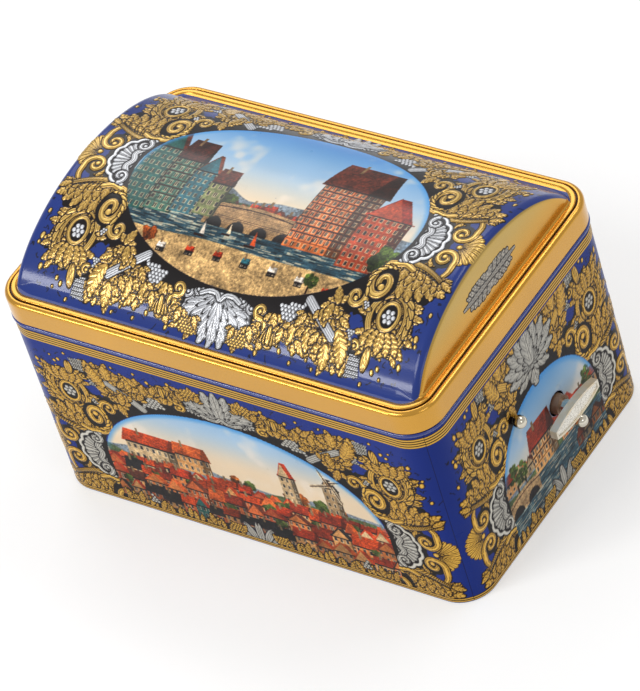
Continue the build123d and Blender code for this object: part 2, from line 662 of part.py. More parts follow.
def make_comb():
    """The steel comb, its teeth ending just clear of the cylinder's pins, and its screws."""
    tip_z = CYL_AXIS_Z + DRUM_R + PIN_STAND + COMB_TIP_GAP
    comb = block(COMB_X, DRUM_Y, (tip_z, COMB_TOP_Z))
    track = (DRUM_Y[1] - DRUM_Y[0]) / COMB_TEETH
    slots = []
    for k in range(1, COMB_TEETH):
        slot_y = DRUM_Y[0] + track * k
        root_z = COMB_ROOT_Z - 0.5 - 3.0 * k / COMB_TEETH
        slots.append(block((COMB_X[0] - 1, COMB_X[1] + 1), (slot_y - COMB_SLOT / 2, slot_y + COMB_SLOT / 2),
                           (tip_z - 1, root_z)))
    comb = comb - slots
    screws = []
    for y in COMB_SCREW_Y:
        comb -= rod_x(y, COMB_SCREW_Z, COMB_X[0] - 1, COMB_X[1] + 1, COMB_BORE_R)
        screw = rod_x(y, COMB_SCREW_Z, COMB_X[0] - SCREW_HEAD_T, COMB_X[0] - EPS, COMB_SCREW_HEAD_R)
        slot_z = (COMB_SCREW_Z - DRIVER_SLOT_W / 2, COMB_SCREW_Z + DRIVER_SLOT_W / 2)
        slot_x = (COMB_X[0] - 2, COMB_X[0] - SCREW_HEAD_T + DRIVER_SLOT_DEPTH)
        screw -= block(slot_x, (y - 3, y + 3), slot_z)
        shank_x = (COMB_X[0] - 0.5, COMB_X[1] + COMB_SCREW_REACH)
        screws.append(screw + rod_x(y, COMB_SCREW_Z, *shank_x, COMB_SCREW_R))
    save("comb", comb)
    save("comb_screws", Compound(screws))


def make_cover():
    """The box that keeps biscuits out of the movement, with its pillars and screws."""
    cover = block(COVER_X, COVER_Y, COVER_Z, COVER_R)
    inner_x = (COVER_X[0] + COVER_T, COVER_X[1] + 1)
    inner_y = (COVER_Y[0] + COVER_T, COVER_Y[1] - COVER_T)
    inner_z = (COVER_Z[0] + COVER_T, COVER_Z[1] - COVER_T)
    cover -= block(inner_x, inner_y, inner_z, COVER_R - COVER_T)
    pillars = []
    screws = []
    for y, z in PILLAR_YZ:
        cover -= rod_x(y, z, COVER_X[0] - 1, COVER_X[0] + 2, COVER_BORE_R)
        pillar = rod_x(y, z, COVER_X[0] + COVER_T + EPS, PLATE_IN_X - EPS, PILLAR_R)
        pillars.append(pillar - rod_x(y, z, COVER_X[0], COVER_X[0] + COVER_SCREW_REACH + 1, PILLAR_BORE_R))
        screw = rod_x(y, z, COVER_X[0] - SCREW_HEAD_T, COVER_X[0] - EPS, COVER_SCREW_HEAD_R)
        slot_z = (z - DRIVER_SLOT_W / 2, z + DRIVER_SLOT_W / 2)
        slot_x = (COVER_X[0] - 2, COVER_X[0] - SCREW_HEAD_T + DRIVER_SLOT_DEPTH)
        screw -= block(slot_x, (y - 3, y + 3), slot_z)
        screws.append(screw + rod_x(y, z, COVER_X[0] - 0.5, COVER_X[0] + COVER_SCREW_REACH, COVER_SCREW_R))
    save("movement_cover", cover)
    save("cover_pillars", Compound(pillars))
    save("cover_screws", Compound(screws))


os.makedirs("parts", exist_ok=True)
save("body_wall", make_body_wall())
save("bottom_panel", make_bottom_panel())
save("lid_shell", make_lid_shell())
make_hinges()
make_fixings()
make_key()
save("bedplate", make_bedplate())
make_spring_motor()
make_drive_wheel()
make_cylinder()
make_governor()
make_brackets()
make_comb()
make_cover()
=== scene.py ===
"""Looks of the hinged musical tin: printed and embossed tinplate, gold lacquer, nickel key, movement.

Lengths in the drawing part are millimetres, and MM turns them into the frame's metres.
"""
import json
import math

import bpy
import numpy as np
from mathutils import Matrix, Vector


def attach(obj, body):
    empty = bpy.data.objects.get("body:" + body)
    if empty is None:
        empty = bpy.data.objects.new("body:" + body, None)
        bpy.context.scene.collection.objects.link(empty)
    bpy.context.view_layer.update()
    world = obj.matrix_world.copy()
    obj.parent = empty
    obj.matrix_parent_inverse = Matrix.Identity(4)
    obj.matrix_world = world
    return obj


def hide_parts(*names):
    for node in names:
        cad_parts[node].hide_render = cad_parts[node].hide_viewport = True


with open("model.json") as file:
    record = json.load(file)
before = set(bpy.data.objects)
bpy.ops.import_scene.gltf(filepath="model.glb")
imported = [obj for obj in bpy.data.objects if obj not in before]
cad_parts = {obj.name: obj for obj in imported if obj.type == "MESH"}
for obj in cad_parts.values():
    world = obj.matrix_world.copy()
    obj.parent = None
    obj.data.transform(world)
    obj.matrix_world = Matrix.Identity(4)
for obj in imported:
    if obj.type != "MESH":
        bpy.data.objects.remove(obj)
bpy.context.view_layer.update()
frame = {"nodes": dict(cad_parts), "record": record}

MM = 0.001

# Tin, as in the CAD source
BODY_W = 180.0
BODY_D = 118.0
CORNER_R = 12.5
LID_EDGE_Z = 84.3
RIM_Z = 93.6
LID_OVER = 0.35
SHELF_Z = 94.0
CROWN_Z = 115.4
VAULT_HALF_D = 55.3
VAULT_RISE = 32.9
VAULT_FOOT_X = 85.4
VAULT_TOP_X = 83.2
VAULT_FOOT_Y = 52.6
VAULT_CORNER_R = 7.0
VAULT_EDGE_R = 3.0
SHEET = 0.3
KEY_YZ = (9.25, 35.6)
KEY_HOLE_R = 4.6

# Camera at the photograph's viewing angle
CAMERA_AT = (889.98, -887.26, 1192.94)
CAMERA_AIM = (1.316, -3.236, 46.484)
CAMERA_ROLL = -18.198
CAMERA_LENS = 251.43
SENSOR = 36.0

# Colours as they look on screen, 0 to 255
LID_BLUE = (30, 52, 124)
BODY_BLUE = (22, 46, 130)
DARK = (15, 9, 10)
LID_GOLD = (246, 204, 112)
BODY_GOLD = (240, 190, 84)
# GOLD_SHADE and SILVER_SHADE: painted shade at the edges of raised gold and silver shapes
GOLD_SHADE = (90, 54, 14)
SILVER = (226, 228, 232)
SILVER_SHADE = (48, 50, 56)
LACQUER_GOLD = (210, 155, 56)
# Upper colour of the gold ends: painted shading of their steep upper part
LENS_TOP_SHADING = (192, 160, 86)
PICTURE_RIM = (64, 150, 224)


def screen(colour):
    """A screen colour from 0 to 1."""
    return np.array(colour, float) / 255


def linear(colour):
    """A screen colour as the renderer's linear one."""
    c = screen(colour)
    return np.where(c <= 0.04045, c / 12.92, ((c + 0.055) / 1.055) ** 2.4)


def rgba(colour):
    """A screen colour for a shader's socket."""
    return (*linear(colour), 1.0)


def ease(x, low, high):
    """0 below low, 1 above high, smooth between."""
    t = np.clip((x - low) / (high - low), 0, 1)
    return t * t * (3 - 2 * t)


def mix(a, b, t):
    """From a to b."""
    return a + (b - a) * t


def sample(raster, u, v):
    """A raster's values at places between its cells."""
    rows, cols = raster.shape[:2]
    u, v = np.clip(u, 0, cols - 1.001), np.clip(v, 0, rows - 1.001)
    i, j = u.astype(int), v.astype(int)
    fu, fv = (f.reshape(f.shape + (1,) * (raster.ndim - 2)) for f in (u - i, v - j))
    return mix(mix(raster[j, i], raster[j, i + 1], fu), mix(raster[j + 1, i], raster[j + 1, i + 1], fu), fv)


# Drawing the ornament: a raster that holds how much gold, silver and dark there is, its tone with painted
# shading, and its height
ART_STEP = 0.1
ART_SIZE = (88.0, 66.0)
ART_LOW = (-1.0, -1.0)
# Half of the lid picture's length and width along the sheet
OVAL_A = 58.6
OVAL_B = 39.0
# Widths of a shape's soft edge and of the dark outline round it
EDGE_SOFT = 0.14
HALO = 0.38
# Half widths of engraved lines, and how far in from an edge a vein ends
VEIN_W = 0.08
RIB_W = 0.06
FLOURISH_W = 0.15
VEIN_EDGE = 0.12
# Height of a shape's edge, its veins and a leaf's rib, as parts of its full height
EDGE_RISE = 0.25
VEIN_RISE = 0.35
RIB_RISE = 0.4
# Depth of the notches between a leaf's lobes, as a part of its half width
NOTCH = 0.42
# Spacing of lobes above which each has a second stroke, and half width above which a leaf has a rib
FINE_LOBE = 1.5
FINE_LEAF = 0.8
# The three inks, and how light each is at a shape's edge, where its painted shading is darkest
KINDS = ("gold", "silver", "dark")
FLATNESS = {"gold": 0.46, "silver": 0.58, "dark": 0.0}


def cover(depth):
    """How far a point is inside an edge, as a soft mask."""
    return np.clip(depth / EDGE_SOFT + 0.5, 0, 1)


def curve(points, step=0.2):
    """A smooth line through a few points."""
    p = np.array(points, float)
    p = np.vstack([2 * p[0] - p[1], p, 2 * p[-1] - p[-2]])
    out = []
    for a, b, c, d in zip(p[:-3], p[1:-2], p[2:-1], p[3:]):
        n = max(int(np.hypot(*(c - b)) / step), 2)
        t = np.arange(n)[:, None] / n
        bends = (2 * a - 5 * b + 4 * c - d) * t**2 + (3 * b - a - 3 * c + d) * t**3
        out.append(0.5 * (2 * b + (c - a) * t + bends))
    return np.vstack([*out, p[-2:-1]])


class Art:
    """A flat drawing in millimetres that motifs are laid on, one over another."""

    def __init__(self, size=ART_SIZE, low=ART_LOW, step=ART_STEP):
        self.low = low
        self.step = step
        self.nx = int((size[0] - low[0]) / step)
        self.ny = int((size[1] - low[1]) / step)
        self.layer = {k: np.zeros((self.ny, self.nx), np.float32) for k in (*KINDS, "tone", "high")}

    def window(self, low, high):
        """The part of the raster between two corners, with its points."""
        i0, i1 = (int(np.clip((v - self.low[0]) / self.step, 0, self.nx)) for v in (low[0], high[0]))
        j0, j1 = (int(np.clip((v - self.low[1]) / self.step, 0, self.ny)) for v in (low[1], high[1]))
        x = self.low[0] + (np.arange(i0, i1) + 0.5) * self.step
        y = self.low[1] + (np.arange(j0, j1) + 0.5) * self.step
        return (slice(j0, j1), slice(i0, i1)), *np.meshgrid(x.astype(np.float32), y.astype(np.float32))

    def around(self, line, reach):
        """The part of the raster near a line, with its points and their distance from each of the line's."""
        pad = reach + 2 * EDGE_SOFT
        box, x, y = self.window(line.min(0) - pad, line.max(0) + pad)
        return box, x, y, np.hypot(x[..., None] - line[:, 0], y[..., None] - line[:, 1])

    def lay(self, box, mask, kind, tone, high):
        """Put one flat or shaded shape on top of what is there."""
        for name in KINDS:
            self.layer[name][box] *= 1 - mask
        self.layer[kind][box] += mask
        for name, value in (("tone", tone), ("high", high)):
            old = self.layer[name][box]
            self.layer[name][box] = old + (value - old) * mask

    def mould(self, box, depth, kind, bulge, high, halo, light):
        """Put a rounded shape with a dark outline round it on top of what is there."""
        if halo:
            self.lay(box, cover(depth + halo), "dark", 0.0, 0.0)
        # Painted shading: the shape is darker at its edge and lighter on its crest, like light on a relief
        # and like the print's own shading; light scales it
        self.lay(box, cover(depth), kind, light * mix(FLATNESS[kind], 1, bulge), high)

    def ribbon(self, line, width, kind="gold", rise=0.4, veins=(), halo=HALO, light=1.0):
        """A rounded raised strip along a line, dark round its edge and along its veins."""
        line = np.asarray(line, np.float32)
        width = np.broadcast_to(np.asarray(width, np.float32), len(line))
        box, x, y, gap = self.around(line, float(width.max()) + halo)
        if x.size == 0:
            return
        gap = gap - width
        near = np.argmin(gap, axis=-1)
        edge = np.take_along_axis(gap, near[..., None], -1)[..., 0]
        w = np.maximum(width[near], 0.05)
        across = np.clip((edge + w) / w, 0, 1)
        step = np.gradient(line, axis=0)
        step = (step / (np.linalg.norm(step, axis=1, keepdims=True) + 1e-9))[near]
        off = (x - line[near, 0]) * step[..., 1] - (y - line[near, 1]) * step[..., 0]
        bulge = np.sqrt(np.clip(1 - across**2, 0, 1))
        self.mould(box, -edge, kind, bulge, rise * mix(EDGE_RISE, 1, bulge), halo, light)
        for v in veins:
            vein = cover(-edge - VEIN_EDGE) * cover(VEIN_W - np.abs(off - v * w))
            self.lay(box, vein * 0.85, "dark", 0.0, rise * VEIN_RISE)

    def disc(self, x0, y0, rx, ry, kind="gold", rise=0.4, halo=HALO, light=1.0):
        """An oval knob, or a flat oval of ground where it has no rise."""
        pad = max(rx, ry) + halo + 2 * EDGE_SOFT
        box, x, y = self.window((x0 - pad, y0 - pad), (x0 + pad, y0 + pad))
        if x.size == 0:
            return
        r = np.hypot((x - x0) / rx, (y - y0) / ry)
        bulge = np.sqrt(np.clip(1 - r**2, 0, 1))
        self.mould(box, (1 - r) * min(rx, ry), kind, bulge, rise * bulge, halo, light)

    def lobe(self, x, y, heading, length, width, bend=0.0, veins=(0,), **how):
        """One finger of a leaf, from its foot, that turns by bend degrees on its way."""
        line = self.stem(x, y, heading, length, bend, step=0.25, least=4)
        body = np.sin(np.pi * (0.14 + 0.74 * np.linspace(0, 1, len(line)))) ** 0.7
        self.ribbon(line, width * body, veins=veins, **how)

    def leaf(self, line, width, lobes=4, kind="gold", rise=0.5, lean=0.2, halo=HALO, light=1.0):
        """A leaf along a midline: rounded lobes that lean to the tip, with a rib and engraved strokes."""
        line = np.asarray(line, np.float32)
        box, x, y, gap = self.around(line, width + halo)
        if x.size == 0:
            return
        near = np.argmin(gap, axis=-1)
        off = np.take_along_axis(gap, near[..., None], -1)[..., 0]
        t = near / (len(line) - 1)
        reach = width * np.sin(np.pi * (0.16 + 0.76 * t)) ** 0.8
        u = off / reach
        lobe = (t - lean * u + lean) * lobes
        part = lobe % 1
        swell = np.sqrt(np.sin(np.pi * part))
        depth = (1 - NOTCH + NOTCH * swell - u) * reach
        bulge = np.sqrt(np.clip(depth / reach, 0, 1)) * (0.4 + 0.6 * swell)
        self.mould(box, depth, kind, bulge, rise * mix(EDGE_RISE, 1, bulge), halo, light)
        spacing = float(np.hypot(*np.diff(line, axis=0).T).sum()) / lobes
        strokes = [(0.0, 0.25, 2.0)] + ([(0.4, 0.12, 0.7)] if spacing > FINE_LOBE else [])
        for at, low, high in strokes:
            away = abs((part - at + 0.5) % 1 - 0.5) * spacing
            stroke = cover(VEIN_W - away) * cover(depth) * (u > low) * (u < high) * (t > 0.03) * (t < 0.96)
            self.lay(box, stroke * 0.8, "dark", 0.0, rise * VEIN_RISE)
        rib = cover(RIB_W - off) * (t < 0.9) * (width > FINE_LEAF)
        self.lay(box, rib * 0.9, "dark", 0.0, rise * RIB_RISE)

    def stem(self, x, y, heading, length, bend=0.0, step=0.12, least=6):
        """A line that starts at a point and turns by bend degrees on its way."""
        n = max(int(length / step), least)
        a = np.radians(heading + bend * np.linspace(0, 1, n))
        return np.cumsum(np.c_[np.cos(a), np.sin(a)], axis=0) * length / n + (x, y)

    def frond(self, x, y, heading, length, width, bend=0.0, pairs=2, **how):
        """A long leaf with notched sides."""
        self.leaf(self.stem(x, y, heading, length, bend), width * 1.25, lobes=pairs + 2, **how)

    def sprig(self, x, y, heading, size, pairs=3, **how):
        """A small oak-like leaf."""
        self.leaf(self.stem(x, y, heading, size), size * 0.27, lobes=pairs, **how)

    def vine_leaf(self, x, y, heading, size, **how):
        """A broad leaf in three parts with notched sides."""
        a = math.radians(heading)
        x, y = x + 0.2 * size * math.cos(a), y + 0.2 * size * math.sin(a)
        for turn, reach, wide in ((-72, 0.6, 0.22), (72, 0.6, 0.22), (0, 0.85, 0.27)):
            line = self.stem(x, y, heading + turn, size * reach, -16 * np.sign(turn))
            self.leaf(line, size * wide, lobes=3, lean=0.35, **how)

    def foliage(self, corners, spacing, size, seed, **how):
        """Broad leaves over a region, turned away from the oval, as a ground for larger motifs."""
        rng = np.random.default_rng(seed)
        corners = np.array(corners, float)
        low, high = corners.min(0), corners.max(0)
        for j, y in enumerate(np.arange(low[1], high[1], spacing)):
            for x in np.arange(low[0] + spacing * 0.5 * (j % 2), high[0], spacing):
                px, py = x + rng.uniform(-0.25, 0.25) * spacing, y + rng.uniform(-0.25, 0.25) * spacing
                away = math.degrees(math.atan2(py / OVAL_B**2, px / OVAL_A**2))
                heading, grow = away + rng.uniform(-55, 55), rng.uniform(0.8, 1.2)
                if inside(px, py, corners):
                    self.vine_leaf(px, py, heading, size * grow, **how)

    def volute(self, x, y, radius, start, turns, width, tall=1.0, lead=(), kind="gold", **how):
        """A scroll that winds in to an eye, on a dark ground."""
        self.disc(x, y, radius * 0.92, radius * tall * 0.92, kind="dark", rise=0, halo=0)
        t = np.linspace(0, 1, int(abs(turns) * 60))
        a = np.radians(start + 360 * turns * t)
        r = radius * 0.2**t
        line = np.c_[x + r * np.cos(a), y + tall * r * np.sin(a)]
        thick = width * (1 - 0.45 * t)
        if len(lead):
            head = curve([*lead, tuple(line[0])])[:-1]
            line = np.vstack([head, line])
            thick = np.r_[np.linspace(width * 0.7, width, len(head)), thick]
        self.ribbon(line, thick, kind=kind, veins=(-0.45, 0.5), **how)
        self.disc(*line[-1], width * 0.8, width * 0.8, kind=kind)

    def fan(self, x, y, r0, r1, a0, a1, count, kind="gold", tall=1.0, **how):
        """Ribs that spread from a hub to a scalloped edge."""
        half = math.radians(abs(a1 - a0)) / count / 2
        for k in range(count):
            a = math.radians(mix(a0, a1, (k + 0.5) / count))
            r = np.linspace(r0, r1 * (1 - math.sin(half)), 24)
            line = np.c_[x + r * math.cos(a), y + tall * r * math.sin(a)]
            self.ribbon(line, r * math.sin(half) * 0.98, kind=kind, halo=0.16, **how)

    def pearls(self, corners, radius, kind="silver"):
        """Beads packed inside a polygon, as a bunch of grapes or a patch of pearls."""
        corners = np.array(corners, float)
        row = radius * 1.75
        low, high = corners.min(0), corners.max(0)
        for j, y in enumerate(np.arange(low[1] + radius, high[1], row)):
            for x in np.arange(low[0] + radius * (1 + j % 2), high[0], radius * 2.05):
                if inside(x, y, corners):
                    self.disc(x, y, radius, radius, kind=kind, rise=0.45, halo=0.22)

    def staff(self, start, end, width, flutes=4):
        """A straight fluted rod."""
        line = np.linspace(start, end, 60)
        veins = [2 * (k + 1) / flutes - 1 for k in range(flutes - 1)]
        self.ribbon(line, width, kind="silver", veins=veins, rise=0.35)

    def squiggle(self, x, y, size, seed):
        """A thin dark pen flourish on the blue ground."""
        rng = np.random.default_rng(seed)
        turns = rng.uniform(-1, 1, (5, 2)) * size / 2
        walk = np.cumsum(turns, axis=0) * 0.6 + (x, y)
        box, _, _, gap = self.around(curve(walk, 0.08), FLOURISH_W)
        free = 1 - sum(self.layer[name][box] for name in KINDS)
        self.layer["dark"][box] += np.clip(free, 0, 1) * cover(FLOURISH_W - gap.min(-1)) * 0.85

    def read(self, x, y):
        """Every layer at the given points."""
        u, v = (x - self.low[0]) / self.step - 0.5, (y - self.low[1]) / self.step - 0.5
        return {name: sample(raster, u, v) for name, raster in self.layer.items()}


def inside(x, y, corners):
    """Whether points lie in a polygon."""
    x, y = np.asarray(x), np.asarray(y)
    hit = np.zeros(np.broadcast(x, y).shape, bool)
    for (x0, y0), (x1, y1) in zip(corners, np.roll(corners, -1, axis=0)):
        if y0 == y1:
            continue
        crosses = (y0 > y) != (y1 > y)
        hit ^= crosses & (x < (x1 - x0) * (y - y0) / (y1 - y0) + x0)
    return hit


def oval_gap(x, y, a=OVAL_A, b=OVAL_B):
    """Rough distance outside an oval."""
    k = np.hypot(x / a, y / b)
    slope = np.hypot(x / a**2, y / b**2) + 1e-9
    return k * (k - 1) / slope


# Ornament of one quarter of the lid: x to the end, y from the ridge to the long edge
GROUND = [(0, 36), (30, 31), (50, 18), (57, 8), (57, -1), (72, -1), (73, 13), (79.5, 14.5), (78.5, 20),
          (75.5, 26), (75.5, 41.5), (68, 46.5), (61.5, 49), (55, 56), (46, 56), (40, 51.5), (30, 49.5),
          (25, 54), (19.5, 51.5), (13.5, 56), (4, 56.5), (0, 50)]
BLUE_WINDOW = [(50.8, 34.2), (56.6, 35.6), (57.2, 43.6), (52.4, 44.6), (49.2, 40.5)]


def dark_ground(art):
    """The dark ground behind the ornament, with a blue window in it."""
    box, x, y = art.window((-1, -1), ART_SIZE)
    wave = 0.7 * np.sin(x * 1.3) * np.sin(y * 1.1)
    mask = inside(x + wave, y + wave, GROUND) & ~inside(x - wave, y + wave, BLUE_WINDOW)
    mask = mask | (oval_gap(x, y) < 2.2)
    art.lay(box, mask * cover(oval_gap(x, y) + 0.2), "dark", 0.0, 0.0)


def shell(art):
    """The silver scallop at the end of the oval."""
    turn = np.radians(np.linspace(-96, 96, 240))
    wave = 1 - 0.085 * (1 - abs(np.sin(turn * 6.6)))
    rim = np.c_[59.8 + 10.2 * wave * np.cos(turn), 11.5 * wave * np.sin(turn)]
    art.disc(62.2, 0, 7.6, 11.0, kind="dark", rise=0, halo=0)
    art.fan(59.2, 0, 2.4, 9.4, -78, 78, 13, kind="silver", rise=0.5, veins=(0.35,), tall=1.1)
    art.ribbon(rim, 0.62, kind="silver", rise=0.6, light=1.1)
    art.ribbon(curve([(59.4, -6.0), (61.2, -3.4), (61.0, 0.4), (62.2, 3.2), (60.4, 6.0)]), 1.1, kind="silver",
               veins=(-0.3, 0.4))
    for side in (-1, 1):
        art.volute(61.6, side * 8.0, 3.1, side * 110, side * 1.25, 0.9, kind="silver", light=1.1)


def rosette(art):
    """Pearls in a gold ring, in a frame of leaves."""
    for x, y, heading in ((71.5, 26.8, 0), (73.6, 30.5, 10), (73.8, 38.4, 30), (71.2, 44.6, 60),
                          (60.4, 44.2, 125), (58.8, 39.4, 165), (57.6, 33.2, 185)):
        art.sprig(x, y, heading, 4.4, pairs=2)
    right = [(59.8, 26.0), (63.5, 23.9), (68.6, 25.2), (71.9, 29.5), (72.8, 35.5), (71.2, 41.0), (67.0, 44.8),
             (62.4, 44.8)]
    line = curve(right)
    art.ribbon(line, 1.75, veins=(-0.6, 0.6), rise=0.5)
    step = np.gradient(line, axis=0)
    for k in range(12):
        at = int((1 - k / 11) * (len(line) - 4))
        ahead = math.degrees(math.atan2(step[at, 1], step[at, 0]))
        art.lobe(*line[at], ahead - 24, 4.4, 0.85, bend=38, rise=0.6)
    left = [(59.6, 26.8), (58.0, 31.0), (58.4, 36.0), (60.6, 40.6)]
    art.ribbon(curve(left), 1.05, veins=(-0.3, 0.3), rise=0.5)
    for x, heading in ((61.4, 122), (69.0, 58), (63.2, 106), (67.2, 74), (65.2, 90)):
        art.frond(x, 38.8, heading, 7.0, 1.6, rise=0.6)
    art.disc(65.2, 32.6, 4.5, 5.9, kind="dark", rise=0, halo=0)
    turn = np.linspace(0, 2 * np.pi, 60)
    art.ribbon(np.c_[65.2 + 3.7 * np.cos(turn), 32.6 + 5.0 * np.sin(turn)], 0.66, rise=0.6, veins=(0.3,))
    art.disc(65.2, 32.8, 0.85, 0.85, kind="silver", rise=0.5, halo=0.2)
    for a in range(0, 360, 60):
        px, py = 1.75 * math.cos(math.radians(a)), 1.95 * math.sin(math.radians(a))
        art.disc(65.2 + px, 32.8 + py, 0.82, 0.82, kind="silver", rise=0.5, halo=0.2)


def long_leaf(art):
    """The leaf that hangs between the big scroll and the rosette, in two tiers of curling fingers."""
    line = curve([(57.6, 12.8), (62.0, 11.2), (68.0, 11.6), (74.0, 13.8), (78.6, 16.4)])
    for x, y, heading, length, bend in (
        (76.5, 16.0, 74, 6.4, -50), (76.4, 15.4, 8, 5.4, 40), (74.0, 15.0, 92, 8.4, -46),
        (71.2, 14.0, 102, 10.6, -44), (68.0, 13.4, 106, 12.2, -40), (65.0, 12.8, 108, 12.2, -36),
        (61.6, 12.8, 106, 11.0, -30),
    ):
        art.frond(x, y, heading, length, 2.0, bend=bend, pairs=3, rise=0.55)
    for x, y, heading, length in ((75.4, 15.6, 80, 4.6), (72.8, 14.6, 88, 6.0), (69.8, 13.6, 96, 6.8),
                                  (66.6, 12.8, 100, 6.8), (63.4, 12.4, 100, 6.4)):
        art.vine_leaf(x, y, heading, length, rise=0.65)
    for k in range(12):
        x, y = line[int((k + 1) * (len(line) - 1) / 14)]
        art.lobe(x - 0.6, y - 0.6, 60, 3.8, 0.5, bend=-30, veins=(), rise=0.6)
    art.ribbon(line, np.linspace(1.15, 0.6, len(line)), veins=(-0.5, 0, 0.5), rise=0.65)
    art.vine_leaf(77.4, 15.4, 30, 4.8, rise=0.6)


def silver_leaf(art):
    """The leaf in the middle of the long side."""
    for x, y, heading, length, width, bend in (
        (4.6, 43.8, 6, 9.8, 3.0, 40), (3.4, 43.4, 30, 13.2, 3.5, 20), (1.8, 43.2, 56, 14.8, 3.6, 6),
        (0.6, 42.8, 76, 16.0, 3.3, 2), (0.0, 41.2, 90, 18.4, 2.6, 0),
    ):
        line = art.stem(x, y, heading, length, bend)
        art.leaf(line, width, lobes=4, kind="silver", rise=0.6, lean=0.45)
    for x, y, turns in ((13.6, 42.8, -1.0), (9.6, 41.4, -0.9)):
        art.volute(x, y, 2.0, 200, turns, 0.7, kind="silver")
    art.ribbon(curve([(0.4, 42.6), (2.0, 40.8), (5.0, 40.6), (8.0, 42.0)]), 0.8, kind="silver", veins=(0,))


def draw_quarter(art):
    """Scrolls, leaves, fruit and rods, from the back to the front."""
    dark_ground(art)
    art.foliage([(15, 42.5), (30, 40), (40, 36), (47, 31), (50, 34), (49, 41), (54, 46), (54, 55), (46, 54.5),
                 (40, 50), (30, 48), (24, 52), (19, 50), (13, 54), (6, 54), (14, 48)], 3.6, 6.2, 3)
    art.foliage([(60, 24), (72, 24), (75, 32), (74, 40), (66, 46), (60, 45), (58, 36)], 3.6, 5.6, 5)
    art.foliage([(70, 12), (76, 13), (78, 18), (72, 18)], 3.0, 4.6, 6)
    art.fan(75.4, 0, 1.4, 9.0, -66, 66, 9, veins=(0,), rise=0.45)
    art.disc(75.6, 0, 1.0, 1.0, rise=0.5)
    rosette(art)

    # Scrolls round the end of the oval
    art.vine_leaf(70.4, 11.4, 250, 4.4)
    art.volute(73.2, 6.2, 4.7, 20, -1.35, 1.15, lead=[(75.6, 15.0), (77.4, 11.6)], rise=0.55)
    art.volute(50.0, 28.4, 4.1, -35, 1.3, 1.05, tall=1.2, lead=[(57.0, 32.0), (54.8, 31.0)], rise=0.55)
    long_leaf(art)
    for k in range(6):
        art.lobe(53.4 + 0.4 * k, 19.5 - 1.1 * k, 250 + 12 * k, 4.0, 0.8, bend=40, veins=(), rise=0.5)
    art.volute(57.2, 21.6, 5.8, -95, -1.5, 1.5, tall=1.4, lead=[(65.2, 13.8), (61.4, 12.4)], rise=0.65)
    for k in range(7):
        a = math.radians(100 + 22 * k)
        x, y = 57.2 + 5.4 * math.cos(a), 21.6 - 7.6 * math.sin(a)
        art.lobe(x, y, 20 - 22 * k, 3.2, 0.55, veins=(), rise=0.7)
    silver_leaf(art)

    # Fruit, rods and broad leaves along the long side
    art.pearls([(6.0, 51.4), (14.0, 49.6), (13.6, 56.4), (7.0, 57.8)], 0.62, kind="gold")
    art.vine_leaf(8.6, 50.0, 110, 4.6)
    art.vine_leaf(14.2, 48.0, 75, 5.6)
    art.volute(17.4, 42.4, 2.7, 120, 1.1, 0.95, lead=[(20.4, 51.5), (19.6, 46.0)])
    art.vine_leaf(22.8, 41.4, 85, 6.6, rise=0.6)
    art.disc(22.9, 51.4, 2.3, 3.0, rise=0.7)
    for heading in (62, 118, 76, 104, 90):
        art.lobe(22.8, 46.6, heading, 6.2, 0.95, rise=0.65)
    art.pearls([(23.6, 38.2), (34.8, 35.4), (32.0, 40.0), (28.6, 45.6)], 0.72)
    art.staff((34.0, 34.2), (47.0, 44.6), 1.55)
    for x, y, heading, size in (
        (31.5, 43.0, 96, 7.4), (37.4, 42.6, 84, 8.4), (35.0, 38.8, 120, 5.6), (39.6, 35.6, 62, 6.4),
        (45.0, 33.6, 250, 6.4), (43.2, 32.8, 100, 6.6), (47.4, 37.2, 30, 5.0), (45.6, 46.4, 88, 9.0),
        (42.0, 43.8, 120, 5.4), (50.4, 44.2, 62, 6.4), (52.6, 48.4, 84, 7.6), (27.5, 45.6, 100, 5.4),
    ):
        art.vine_leaf(x, y, heading, size, rise=0.6)
    art.frond(49.0, 42.6, 52, 11.4, 2.3, bend=42, pairs=3, rise=0.65)
    art.volute(56.6, 45.4, 1.9, 250, 0.9, 0.8)
    draw_bits(art)


DROPS = ((27.8, 53.0, 1.3), (32.8, 56.5, 1.0), (42.0, 56.6, 0.9), (18.7, 56.2, 1.3), (61.8, 56.8, 1.0),
         (65.3, 51.4, 1.3), (67.2, 49.8, 1.2), (75.1, 47.3, 1.5), (78.1, 36.6, 1.6), (78.8, 39.4, 1.0),
         (76.8, 37.4, 0.9), (79.7, 27.6, 1.1), (74.5, 37.5, 0.9), (39.0, 53.6, 0.9), (68.6, 53.4, 0.8))
FLOURISHES = ((79.5, 31), (78.5, 43.5), (73, 51.5), (70.5, 50), (27, 56.5), (34.5, 55.5), (49.5, 56.6),
              (65, 55), (81.5, 22), (22, 57.5), (54.5, 37.5), (52.5, 34.5), (76.5, 49.5), (80, 40.5),
              (81, 27), (70, 56), (41, 57.4), (58.5, 57.6), (74.6, 54.4), (18, 58.2), (79.8, 35))


def draw_bits(art):
    """Woven patch, drops and pen flourishes."""
    corners = np.array([(55.6, 48.0), (59.6, 48.8), (60.6, 55.6), (54.8, 56.4)])
    box, x, y = art.window(corners.min(0) - 1, corners.max(0) + 1)
    weave = inside(x, y, corners).astype(np.float32)
    cell = ((x / 0.85 + (np.floor(y / 0.75) % 2) * 0.5) % 1 > 0.24) & ((y / 0.75) % 1 > 0.28)
    art.lay(box, weave, "dark", 0.0, 0.1)
    art.lay(box, weave * cell, "silver", 0.95, 0.4)
    art.lobe(62.2, 44.9, 94, 7.4, 1.55, veins=(-0.4, 0, 0.4), rise=0.6)
    art.pearls([(52.0, 40.5), (54.6, 40.2), (54.2, 44.2)], 0.5)
    art.pearls([(54.0, 29.6), (56.6, 29.4), (55.8, 32.6)], 0.5)
    for x, y, size in DROPS:
        art.lobe(x, y, 80, size * 1.2, size * 0.5, veins=(), rise=0.5)
    for seed, (x, y) in enumerate(FLOURISHES):
        art.squiggle(x, y, 4.2, seed)


